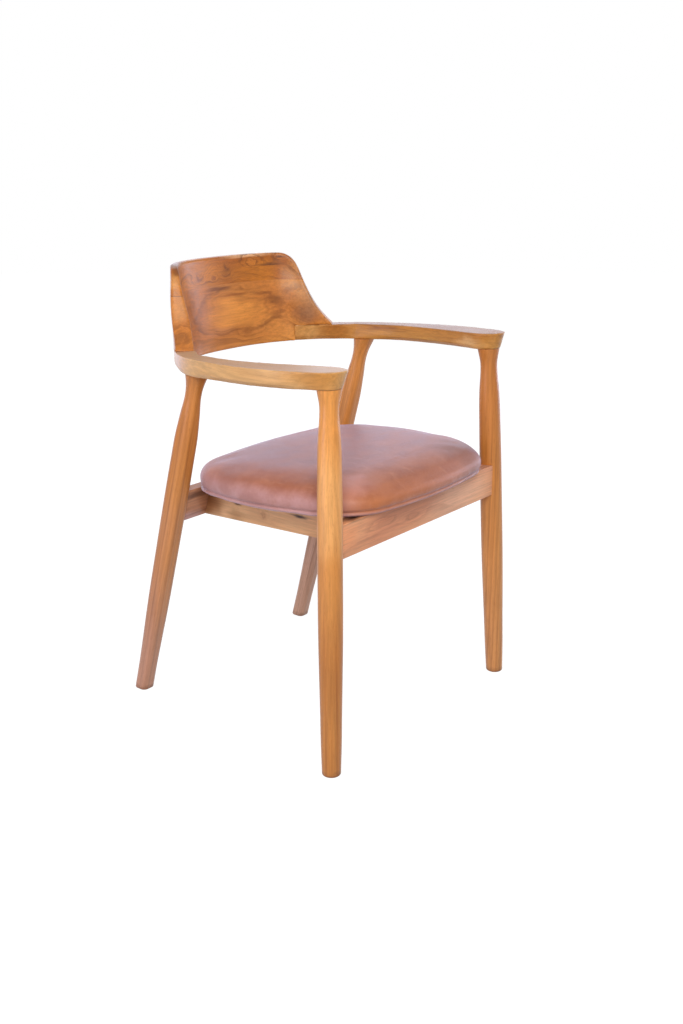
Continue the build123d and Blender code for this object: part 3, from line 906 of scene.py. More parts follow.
@dataclass(frozen=True)
class PlywoodFinish:
    """Raw plywood: a pale face veneer and thin plies along its edge.

    Attributes:
        name: the material's name.
        pale: the veneer's tone, as a screen shows it.
        deep: the tone of the plies' joints and of its dark rings.
        ply: how thick one ply is.
        gloss: how it shines.
    """

    name: str = "seat_board_plywood"
    pale: Colour = (206, 178, 132)
    deep: Colour = (164, 126, 82)
    ply: float = 0.0024
    gloss: Gloss = Gloss()

    def make(self, effects: Effects) -> bpy.types.Material:
        """Builds the material from the shared rings and fibres and a band for each ply.

        Args:
            effects: the shared node groups.

        Returns:
            The finished material.
        """
        sheet = FinishSheet(self.name)
        fibres = sheet.group(effects.fibres, Vector=sheet.place, Fineness=0.8)
        rings = sheet.group(
            effects.rings,
            Vector=sheet.place,
            Spacing=0.02,
            Lift=0.0,
            Wander=0.12,
            Wander_Scale=4.0,
            Run=0.2,
            Force=0.0,
        )
        height = sheet.split(sheet.place).outputs["Z"]
        layer = sheet.ease(sheet.maths("PINGPONG", height, self.ply), 0.0, self.ply)
        colour = sheet.mix(layer, linear(self.deep), linear(self.pale))
        colour = sheet.mix(0.65, colour, linear(self.pale))
        late = sheet.maths("MULTIPLY", rings.outputs["Late"], 0.35)
        colour = sheet.mix(late, colour, linear(self.deep))
        colour = sheet.stain(colour, self.deep, fibres.outputs["Pore"], 0.4)
        rough = sheet.maths("MULTIPLY_ADD", late, 0.2, 0.68)
        return sheet.surface(colour, rough, fibres.outputs["Streak"], self.gloss)


@dataclass(frozen=True)
class SteelFinish:
    """Zinc-plated steel with a fine drawn texture and dull spots.

    Attributes:
        name: the material's name.
        bright: the plating's tone, as a screen shows it.
        dull: the tone of its dull spots.
        gloss: how it shines.
    """

    name: str = "zinc_plated_steel"
    bright: Colour = (188, 188, 184)
    dull: Colour = (128, 128, 126)
    gloss: Gloss = Gloss(metallic=1.0, relief=0.15, depth=0.0001)

    def make(self, effects: Effects) -> bpy.types.Material:
        """Builds the material from a spotted colour and the shared fibres.

        Args:
            effects: the shared node groups.

        Returns:
            The finished material.
        """
        sheet = FinishSheet(self.name)
        spots = sheet.noise(sheet.place, 900.0, 3.0, 0.6)
        fibres = sheet.group(effects.fibres, Vector=sheet.place, Fineness=4.0)
        spot = sheet.ease(spots.outputs["Fac"], 0.4, 0.65)
        colour = sheet.mix(spot, linear(self.bright), linear(self.dull))
        rough = sheet.maths("MULTIPLY_ADD", spot, 0.25, 0.28)
        return sheet.surface(colour, rough, fibres.outputs["Streak"], self.gloss)


def dress(node: str, material: bpy.types.Material) -> None:
    """Gives a CAD node its material.

    Args:
        node: the node's name.
        material: its finish.
    """
    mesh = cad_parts[node].data
    mesh.materials.clear()
    mesh.materials.append(material)
    log.info("%s dressed in %s", node, material.name)


def only(piece: bpy.types.Object) -> None:
    """Selects one object alone and makes it active.

    Args:
        piece: the object.
    """
    bpy.ops.object.select_all(action="DESELECT")
    piece.select_set(True)
    bpy.context.view_layer.objects.active = piece


def apply_modifier(piece: bpy.types.Object, name: str) -> None:
    """Applies one of a piece's modifiers to its mesh.

    Args:
        piece: the piece.
        name: the modifier's name.
    """
    only(piece)
    bpy.ops.object.modifier_apply(modifier=name)


def merged(nodes: tuple[str, ...]) -> bmesh.types.BMesh:
    """Copies CAD nodes into one mesh in which faces share their points.

    Args:
        nodes: the nodes to copy.

    Returns:
        The mesh, still in work.
    """
    work = bmesh.new()
    for node in nodes:
        work.from_mesh(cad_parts[node].data)
    bmesh.ops.remove_doubles(work, verts=work.verts[:], dist=MERGE_DISTANCE)
    return work


def new_piece(name: str, work: bmesh.types.BMesh) -> bpy.types.Object:
    """Makes a piece of a mesh in work, and puts it into the scene.

    Args:
        name: the piece's name.
        work: the mesh in work, which this uses up.

    Returns:
        The new piece.
    """
    mesh = bpy.data.meshes.new(name)
    work.to_mesh(mesh)
    work.free()
    piece = bpy.data.objects.new(name, mesh)
    bpy.context.scene.collection.objects.link(piece)
    return piece


def even_mesh(piece: bpy.types.Object, voxel: float) -> None:
    """Gives a closed piece an even mesh.

    Args:
        piece: the piece.
        voxel: how wide the mesh's squares are.
    """
    remesh = piece.modifiers.new("even_mesh", "REMESH")
    remesh.mode = "VOXEL"
    remesh.voxel_size = voxel
    apply_modifier(piece, remesh.name)


def even_copy(nodes: tuple[str, ...], name: str, voxel: float) -> bpy.types.Object:
    """Copies CAD nodes as one piece with an even mesh that lies on their surface.

    Args:
        nodes: the nodes to copy.
        name: the new piece's name.
        voxel: how wide the even mesh's squares are.

    Returns:
        The new piece.
    """
    exact = new_piece(f"{name}_exact", merged(nodes))
    piece = bpy.data.objects.new(name, exact.data.copy())
    bpy.context.scene.collection.objects.link(piece)
    even_mesh(piece, voxel)
    keep_largest(piece)
    cling = piece.modifiers.new("cling", "SHRINKWRAP")
    cling.target = exact
    cling.wrap_method = "NEAREST_SURFACEPOINT"
    apply_modifier(piece, cling.name)
    bpy.data.objects.remove(exact)
    return piece


def keep_largest(piece: bpy.types.Object) -> None:
    """Deletes every loose part of a piece but its largest.

    Args:
        piece: the piece.
    """
    work = bmesh.new()
    work.from_mesh(piece.data)
    left = set(work.verts)
    parts = []
    while left:
        part = {left.pop()}
        edge_of_part = list(part)
        while edge_of_part:
            vertex = edge_of_part.pop()
            for edge in vertex.link_edges:
                other = edge.other_vert(vertex)
                if other in left:
                    left.discard(other)
                    part.add(other)
                    edge_of_part.append(other)
        parts.append(part)
    parts.sort(key=len)
    for part in parts[:-1]:
        bmesh.ops.delete(work, geom=list(part), context="VERTS")
    work.to_mesh(piece.data)
    work.free()


def sand(piece: bpy.types.Object, softness: Callable[[Vector], float], passes: int) -> None:
    """Rounds a piece's edges as sandpaper does.

    Args:
        piece: the piece.
        softness: says for a place how much it is sanded, 0 to 1.
        passes: how many times the mesh is evened out.
    """
    soft = piece.vertex_groups.new(name="soft")
    for vertex in piece.data.vertices:
        soft.add([vertex.index], softness(vertex.co), "REPLACE")
    smooth_group(piece, soft, passes)


def smooth_group(piece: bpy.types.Object, group: bpy.types.VertexGroup, passes: int) -> None:
    """Smooths a piece by the weights of a vertex group, and drops its groups.

    Args:
        piece: the piece.
        group: the vertex group.
        passes: how many times the mesh is evened out.
    """
    smooth = piece.modifiers.new("smoothing", "SMOOTH")
    smooth.factor = SMOOTH_FACTOR
    smooth.iterations = passes
    smooth.vertex_group = group.name
    apply_modifier(piece, smooth.name)
    piece.vertex_groups.clear()


def coat(piece: bpy.types.Object, material: bpy.types.Material, sharp: float) -> None:
    """Gives a piece its only material, and smooth shading but at its sharp edges.

    Args:
        piece: the piece.
        material: its finish.
        sharp: the angle, in degrees, over which an edge stays sharp.
    """
    piece.data.materials.clear()
    piece.data.materials.append(material)
    only(piece)
    bpy.ops.object.shade_smooth_by_angle(angle=math.radians(sharp))
    log.info("%s has %d faces", piece.name, len(piece.data.polygons))


def ramp(value: float, low: float, high: float) -> float:
    """Makes a smooth step of a value.

    Args:
        value: the value.
        low: where the result is 0.
        high: where it is 1, which may be lower than where it is 0.

    Returns:
        The result, 0 to 1.
    """
    share = min(1.0, max(0.0, (value - low) / (high - low)))
    return share * share * (3 - 2 * share)


@dataclass
class EarCarving:
    """The hand-carved thickening of the back's ears, which runs on into the arms under them.

    Attributes:
        inward: how far the inner side stands in.
        outward: how far the outer side stands out.
        edge_y, edge_z: a point on the ear's cut front edge.
        edge_run: how far the edge lies further back for each metre of height.
        edge_foot: the height under which the edge runs straight down.
        full_within: how near the edge the carving is full.
        spread_back, spread_front: how far the carving fades out behind and before the edge.
        inner_foot, inner_head: the heights over which the inner side's carving begins and ends.
        outer_foot, outer_head: the same for the outer side's.
        skin: how deep under the surface the wall's thickness is measured from.
        thickest: how thick the wall is at most.
    """

    inward: float = 0.0088
    outward: float = 0.0030
    edge_y: float = 0.134
    edge_z: float = 0.648
    edge_run: float = 0.50
    edge_foot: float = 0.632
    full_within: float = 0.012
    spread_back: float = 0.062
    spread_front: float = 0.050
    inner_foot: Span = (0.598, 0.640)
    inner_head: Span = (0.738, 0.662)
    outer_foot: Span = (0.640, 0.690)
    outer_head: Span = (0.758, 0.700)
    skin: float = 0.0006
    thickest: float = 0.08

    def carve(self, piece: bpy.types.Object) -> None:
        """Moves a piece's surface by its place across the wall.

        Args:
            piece: a piece with an even mesh.
        """
        mesh = piece.data
        faces = [tuple(face.vertices) for face in mesh.polygons]
        tree = BVHTree.FromPolygons([vertex.co.copy() for vertex in mesh.vertices], faces)
        moves = [self.move(vertex, tree) for vertex in mesh.vertices]
        for vertex, move in zip(mesh.vertices, moves):
            if move is not None:
                vertex.co += move

    def move(self, vertex: bpy.types.MeshVertex, tree: BVHTree) -> Vector | None:
        """Works out how far one vertex moves.

        Args:
            vertex: the vertex.
            tree: the uncarved surface.

        Returns:
            The way it moves, or nothing where it stays.
        """
        inner_weight, outer_weight = self.weights(vertex.co)
        if max(inner_weight, outer_weight) <= 0.0:
            return None
        inner = Vector((-vertex.co.x, -vertex.co.y, 0.0)).normalized()
        start = vertex.co - vertex.normal * self.skin
        before = tree.ray_cast(start, inner, self.thickest)[3] or 0.0
        behind = tree.ray_cast(start, -inner, self.thickest)[3] or 0.0
        share = behind / max(0.0001, before + behind)
        inward = self.inward * inner_weight * share
        return inner * (inward - self.outward * outer_weight * (1 - share))

    def weights(self, place: Vector) -> tuple[float, float]:
        """Works out how much each side of the wall is carved at a place.

        Args:
            place: the place.

        Returns:
            How much the inner and the outer side move, each 0 to 1.
        """
        edge = self.edge_y + (max(place.z, self.edge_foot) - self.edge_z) * self.edge_run
        off = place.y - edge
        spread = self.spread_back if off > 0 else self.spread_front
        near = ramp(abs(off), spread, self.full_within)
        inner = near * ramp(place.z, *self.inner_head) * ramp(place.z, *self.inner_foot)
        outer = near * ramp(place.z, *self.outer_head) * ramp(place.z, *self.outer_foot)
        return inner, outer


@dataclass
class PhotographCamera:
    """The camera that took the photograph.

    Attributes:
        place: where it stands, in metres.
        azimuth, elevation: where it stands as seen from the chair, in degrees.
        focal_pixels: its focal length in the photograph's pixels.
        centre_x, centre_y: the photograph's pixel that it points at.
        sensor: the sensor's long side, in millimetres.
    """

    place: Triple = (-1.5098, -1.2739, 0.973)
    azimuth: float = -51.64
    elevation: float = 17.99
    focal_pixels: float = 1168.69
    centre_x: float = 354.59
    centre_y: float = 511.86
    sensor: float = 36.0

    def build(self) -> None:
        """Makes the camera and hands it to the scene."""
        data = bpy.data.cameras.new("photograph_camera")
        data.sensor_width = self.sensor
        data.lens = self.focal_pixels * self.sensor / PHOTO_HEIGHT
        data.shift_x = (PHOTO_WIDTH / 2 - self.centre_x) / PHOTO_HEIGHT
        data.shift_y = (self.centre_y - PHOTO_HEIGHT / 2) / PHOTO_HEIGHT
        camera = bpy.data.objects.new("photograph_camera", data)
        camera.location = self.place
        camera.rotation_euler = (math.radians(90 - self.elevation), 0.0, math.radians(self.azimuth))
        bpy.context.scene.collection.objects.link(camera)
        bpy.context.scene.camera = camera
        log.info("camera stands at %s", self.place)


@dataclass
class BackBoards:
    """The two boards of the back, carved and sanded as one and parted at their glue line.

    Attributes:
        effects: the shared node groups.
        board_joint: the height of the glue line between them.
        line_from: how far out that glue line shows clearly.
        ear_base: the height at which the ears rest on the arms, at the butt joints.
        butt_x: how far out the lower board ends between the arms.
        arm_top: the height of the arms' top plane over the chair's middle, and its slope.
        over_arm: how high over the arms sanding begins, and where it is full.
        from_butt: how far from the butt joints sanding begins, and where it is full.
        voxel: how wide the even mesh's squares are.
        passes: how many times the edges are evened out.
        sharp: the angle, in degrees, over which an edge stays sharp.
    """

    effects: Effects
    board_joint: float = 0.714
    line_from: float = 0.145
    ear_base: float = 0.630
    butt_x: float = 0.138
    arm_top: Span = (0.6366, -0.042)
    over_arm: Span = (0.002, 0.007)
    from_butt: Span = (0.002, 0.008)
    voxel: float = 0.0021
    passes: int = 9
    sharp: float = 50.0

    def build(self) -> None:
        """Builds both boards."""
        whole = even_copy(("back_lower_board", "back_upper_board"), "back_boards", self.voxel)
        EarCarving().carve(whole)
        sand(whole, self.softness, self.passes)
        self.part(whole, "back_upper_board", True, self.upper())
        self.part(whole, "back_lower_board", False, self.lower())
        bpy.data.objects.remove(whole)

    def softness(self, place: Vector) -> float:
        """Says how much a place is sanded: not at all beside the joints with the arms.

        Args:
            place: the place.

        Returns:
            How much it is sanded, 0 to 1.
        """
        over_arm = ramp(place.z - self.arm_top[0] - self.arm_top[1] * place.y, *self.over_arm)
        from_butt = ramp(self.butt_x - abs(place.x), *self.from_butt)
        return max(over_arm, from_butt)

    def part(self, whole: bpy.types.Object, node: str, upper: bool, finish: TeakFinish) -> None:
        """Cuts one board from the carved whole at the glue line.

        Args:
            whole: the carved pair of boards.
            node: the CAD node that the board stands for.
            upper: whether it is the upper board.
            finish: the board's wood.
        """
        work = bmesh.new()
        work.from_mesh(whole.data)
        bmesh.ops.bisect_plane(
            work,
            geom=work.verts[:] + work.edges[:] + work.faces[:],
            plane_co=(0.0, 0.0, self.board_joint),
            plane_no=(0.0, 0.0, 1.0),
            clear_inner=upper,
            clear_outer=not upper,
        )
        rim = [edge for edge in work.edges if edge.is_boundary]
        bmesh.ops.holes_fill(work, edges=rim, sides=0)
        board = new_piece(f"{node}_carved", work)
        coat(board, finish.make(self.effects), self.sharp)
        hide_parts(node)
        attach(board, "root")

    def board_line(self) -> GlueLine:
        """The glue line between the two boards."""
        return GlueLine((0.0, 0.0, 1.0), self.board_joint, from_x=self.line_from, dark=0.7)

    def butt_line(self, outward: float) -> GlueLine:
        """The glue line of one butt joint with an arm.

        Args:
            outward: 1 for the left joint, -1 for the right one.

        Returns:
            The line.
        """
        return GlueLine((outward, 0.0, 0.0), self.butt_x, top=self.ear_base, half_width=0.0012)

    def lower(self) -> TeakFinish:
        """The lower board: one wide oval figure, and a swirl at the foot of the right ear.

        Returns:
            The board's wood.
        """
        return TeakFinish(
            name="teak_back_lower",
            way=GrainWay.ACROSS,
            heart=(0.0, 0.45, 0.40),
            tones=WoodTones(
                (222, 152, 72), (206, 130, 52), (180, 104, 36), (120, 66, 22), (192, 116, 60)
            ),
            spacing=0.050,
            wander=0.040,
            wander_scale=8.0,
            fine=0.20,
            run=0.3,
            contrast=0.58,
            knots=(
                Knot(
                    (0.025, 0.215, 0.666),
                    (0.107, 0.24, 0.040),
                    2.0,
                    0.78,
                    (240, 160, 74),
                    force=0.6,
                    calm=0.85,
                    rim=0.5,
                ),
                Knot((0.150, 0.162, 0.652), (0.022, 0.05, 0.022), 0.3, 0.75, (150, 94, 50), 0.2),
                Knot((0.133, 0.188, 0.690), (0.016, 0.05, 0.024), 0.5, 0.60, (176, 112, 66), 0.4),
                Knot((0.060, 0.205, 0.628), (0.040, 0.10, 0.010), 1.0, 0.30, (188, 118, 60), 0.4),
                Knot((0.112, 0.19, 0.680), (0.018, 0.05, 0.010), 0.8, 0.6, (118, 66, 22)),
                Knot((0.095, 0.20, 0.692), (0.022, 0.05, 0.004), 0.2, 0.6, (122, 70, 26)),
                Knot((-0.01, 0.22, 0.7075), (0.048, 0.10, 0.0045), 0.3, 0.85, (116, 66, 30)),
                Knot((0.025, 0.22, 0.694), (0.050, 0.10, 0.004), 0.2, 0.6, (150, 78, 16)),
                Knot((-0.085, 0.212, 0.705), (0.030, 0.10, 0.012), 0.0, 0.5, (168, 102, 48)),
                Knot((0.150, 0.18, 0.704), (0.035, 0.04, 0.010), 0.0, 0.7, (206, 146, 92)),
                Knot((-0.187, 0.14, 0.652), (0.03, 0.03, 0.016), 2.2, 0.65, (150, 90, 40), 0.8),
                Knot((-0.175, 0.15, 0.638), (0.014, 0.02, 0.008), 0.8, 0.7, (112, 60, 26)),
                Knot((-0.190, 0.135, 0.664), (0.02, 0.02, 0.006), 0.6, 0.5, (136, 80, 36)),
                Knot((0.05, 0.21, 0.622), (0.022, 0.10, 0.010), 0.8, 0.25, (168, 98, 44)),
                Knot((-0.16, 0.16, 0.690), (0.03, 0.02, 0.03), 0.3, 0.25, (224, 164, 98)),
                Knot((0.165, 0.155, 0.672), (0.04, 0.04, 0.05), 0.6, 0.8, (160, 114, 80), 0.2),
                Knot((-0.02, 0.215, 0.634), (0.055, 0.10, 0.012), 0.0, 0.5, (216, 142, 88)),
            ),
            glue=(self.board_line(), self.butt_line(1.0), self.butt_line(-1.0)),
        )

    def upper(self) -> TeakFinish:
        """The upper board: browner wood with burrs, a ring knot and a dark streak.

        Returns:
            The board's wood.
        """
        return TeakFinish(
            name="teak_back_upper",
            way=GrainWay.ACROSS,
            heart=(0.0, 0.35, 0.50),
            tones=WoodTones(
                (210, 132, 46), (182, 104, 28), (150, 76, 16), (98, 52, 16), (178, 102, 44)
            ),
            spacing=0.015,
            wander=0.062,
            wander_scale=14.0,
            run=0.6,
            contrast=0.80,
            knots=(
                Knot((0.078, 0.22, 0.748), (0.024, 0.10, 0.012), 2.6, 0.45, (208, 128, 54), 0.9),
                Knot((-0.016, 0.22, 0.727), (0.008, 0.10, 0.005), 1.5, 0.7, (140, 78, 42), 1.0),
                Knot((0.018, 0.22, 0.737), (0.016, 0.10, 0.015), 1.7, 0.45, (122, 68, 28), 0.9),
                Knot((0.112, 0.21, 0.742), (0.030, 0.10, 0.003), 0.5, 0.85, (104, 60, 28)),
                Knot((0.128, 0.21, 0.755), (0.012, 0.10, 0.003), 0.3, 0.8, (88, 50, 28)),
                Knot((-0.055, 0.22, 0.730), (0.020, 0.10, 0.012), 1.4, 0.2, (150, 90, 46), 0.7),
                Knot((-0.158, 0.18, 0.740), (0.02, 0.02, 0.02), 0.2, 0.6, (226, 160, 88)),
                Knot((0.150, 0.18, 0.730), (0.032, 0.04, 0.026), 0.3, 0.75, (202, 140, 82)),
                Knot((0.070, 0.225, 0.763), (0.075, 0.10, 0.008), 0.0, 0.8, (244, 192, 144)),
                # a painted lavender-grey reflection on the upper left of the back
                Knot((-0.130, 0.205, 0.764), (0.035, 0.05, 0.010), 0.0, 0.7, (214, 196, 190)),
            ),
            glue=(self.board_line(),),
        )


@dataclass
class Arms:
    """Both arms, with their edges sanded soft.

    Attributes:
        effects: the shared node groups.
        voxel: how wide the even mesh's squares are.
        soft_from: where sanding begins, and where it is full, seen from the rear.
        passes: how many times the edges are evened out.
        sharp: the angle, in degrees, over which an edge stays sharp.
    """

    effects: Effects
    voxel: float = 0.0017
    soft_from: Span = (0.112, 0.085)
    passes: int = 7
    sharp: float = 35.0

    def build(self) -> None:
        """Builds both arms."""
        for side, finish in ((Side.LEFT, self.left()), (Side.RIGHT, self.right())):
            node = f"arm_{side.value}"
            arm = even_copy((node,), f"{node}_sanded", self.voxel)
            EarCarving().carve(arm)
            sand(arm, self.softness, self.passes)
            coat(arm, finish.make(self.effects), self.sharp)
            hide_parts(node)
            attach(arm, "root")

    def softness(self, place: Vector) -> float:
        """Says how much a place is sanded: not at all beside the ears and the butt joint."""
        return ramp(place.y, *self.soft_from)

    def left(self) -> TeakFinish:
        """The left arm: browner wood with a dark lens along its side.

        Returns:
            The arm's wood.
        """
        return TeakFinish(
            name="teak_arm_left",
            way=GrainWay.FORWARD,
            heart=(0.21, 0.0, 0.36),
            tones=WoodTones(
                (212, 158, 80), (196, 136, 62), (168, 102, 42), (124, 68, 30), (170, 98, 50)
            ),
            spacing=0.011,
            wander=0.016,
            wander_scale=6.0,
            contrast=0.42,
            knots=(
                Knot((0.165, 0.155, 0.615), (0.040, 0.04, 0.05), 0.4, 0.8, (216, 164, 98), 0.0, 0.8),
                Knot((0.215, 0.03, 0.632), (0.03, 0.085, 0.010), 2.2, 0.55, (138, 76, 36), 0.9),
                Knot((0.235, -0.222, 0.622), (0.02, 0.010, 0.006), 1.0, 0.3, (160, 104, 56), 0.6),
                Knot((0.197, -0.175, 0.622), (0.03, 0.040, 0.02), 0.0, 0.7, (234, 190, 130)),
                Knot((0.226, -0.12, 0.618), (0.03, 0.09, 0.010), 0.5, 0.6, (214, 166, 84)),
            ),
            top_tone=(154, 106, 64),
        )

    def right(self) -> TeakFinish:
        """The right arm: paler, more yellow and plainer wood.

        Returns:
            The arm's wood.
        """
        return replace(
            self.left(),
            name="teak_arm_right",
            heart=(-0.21, 0.0, 0.36),
            tones=WoodTones(
                (230, 190, 134), (220, 176, 118), (204, 152, 92), (164, 108, 56), (212, 150, 90)
            ),
            contrast=0.18,
            knots=(
                Knot((-0.225, -0.225, 0.618), (0.02, 0.014, 0.006), 1.2, 0.3, (176, 112, 56), 0.7),
                Knot((-0.25, -0.10, 0.630), (0.03, 0.06, 0.006), 1.0, 0.15, (204, 150, 84)),
                Knot((-0.240, -0.205, 0.632), (0.06, 0.095, 0.05), 0.0, 0.85, (188, 126, 52)),
                Knot((-0.215, 0.125, 0.622), (0.06, 0.075, 0.05), 0.0, 0.6, (222, 172, 146)),
            ),
            top_tone=(190, 150, 110),
        )


@dataclass(frozen=True)
class LegCut:
    """How one leg was cut, and the painted shade and reflection over its lower part.

    Attributes:
        node: the leg's CAD node.
        way: the direction of its grain.
        heart: where the log's heart lies.
        wear_and_painted_light: the tone of the painted shade and reflection over its lower part.
        painted_light_reach: how far up that tone fades out.
        tones: the wood's tones.
        knots: what else its figure has.
    """

    node: str
    way: GrainWay
    heart: Triple
    wear_and_painted_light: Colour
    painted_light_reach: float = 0.42
    tones: WoodTones = WoodTones(
        (226, 160, 86), (208, 138, 68), (180, 106, 42), (126, 68, 26), (180, 100, 50)
    )
    knots: tuple[Knot, ...] = ()

    def finish(self) -> TeakFinish:
        """Makes the leg's wood.

        Returns:
            The finish.
        """
        foot = (self.heart[0], self.heart[1], 0.0)
        # painted shade and reflection: the leg's lower part takes its own tone, fading out upward
        wear_and_painted_light = Knot(foot, (0.7, 0.7, self.painted_light_reach), 0.0, 0.85, self.wear_and_painted_light)
        return TeakFinish(
            name=f"teak_{self.node}",
            way=self.way,
            heart=self.heart,
            tones=self.tones,
            spacing=0.0085,
            wander=0.020,
            wander_scale=6.0,
            run=0.10,
            contrast=0.55,
            knots=(wear_and_painted_light, *self.knots),
            worn_foot=0.022,
        )


@dataclass
class Legs:
    """The four legs, with the grain up each of them.

    Attributes:
        effects: the shared node groups.
        cuts: how each leg was cut; the right front one is the palest.
    """

    effects: Effects
    cuts: tuple[LegCut, ...] = (
        # the fourth value is the tone of the painted shade and reflection over the leg's lower part
        LegCut("front_leg_left", GrainWay.UPRIGHT, (0.10, -0.07, 0.30), (204, 140, 88)),
        LegCut(
            "front_leg_right",
            GrainWay.UPRIGHT,
            (-0.13, -0.36, 0.30),
            (162, 94, 36),
            painted_light_reach=0.50,
            tones=WoodTones(
                (252, 196, 120), (240, 173, 94), (214, 136, 60), (150, 82, 30), (206, 124, 56)
            ),
            # a pale patch high on the leg is a painted highlight
            knots=(Knot((-0.2386, -0.2214, 0.455), (0.06, 0.06, 0.12), 0.0, 0.35, (252, 198, 132)),),
        ),
        LegCut("rear_leg_left", GrainWay.RAKED, (0.34, 0.10, 0.30), (218, 176, 156)),
        LegCut("rear_leg_right", GrainWay.RAKED, (-0.33, 0.30, 0.30), (186, 138, 116)),
    )

    def dress(self) -> None:
        """Dresses all four legs, each from its own cut."""
        for cut in self.cuts:
            dress(cut.node, cut.finish().make(self.effects))


@dataclass(frozen=True)
class RailCut:
    """How one seat rail was cut.

    Attributes:
        node: the rail's CAD node.
        way: the direction of its grain.
        heart: where the log's heart lies.
        tones: the wood's tones.
        wander: how far its rings sway.
        wander_scale: how often they sway.
        contrast: how dark they are, 0 to 1.
        knots: its knots, the painted shadows under the pad's edge, and a painted reflection.
    """

    node: str
    way: GrainWay
    heart: Triple
    tones: WoodTones
    wander: float = 0.03
    wander_scale: float = 7.0
    contrast: float = 0.34
    knots: tuple[Knot, ...] = ()

    def finish(self) -> TeakFinish:
        """Makes the rail's wood.

        Returns:
            The finish.
        """
        return TeakFinish(
            name=f"teak_{self.node}",
            way=self.way,
            heart=self.heart,
            tones=self.tones,
            spacing=0.010,
            wander=self.wander,
            wander_scale=self.wander_scale,
            run=0.3,
            contrast=self.contrast,
            fine=0.12,
            knots=self.knots,
            roughness=0.44,
        )


RAIL_WARM = (206, 136, 100)
TAN = WoodTones((246, 206, 150), (238, 188, 136), (208, 152, 102), (150, 96, 60), RAIL_WARM)
PINK = WoodTones((240, 180, 130), (228, 156, 114), (200, 128, 92), (134, 78, 48), RAIL_WARM)
BROWN = WoodTones((206, 154, 112), (188, 132, 98), (158, 104, 78), (104, 60, 40), RAIL_WARM)


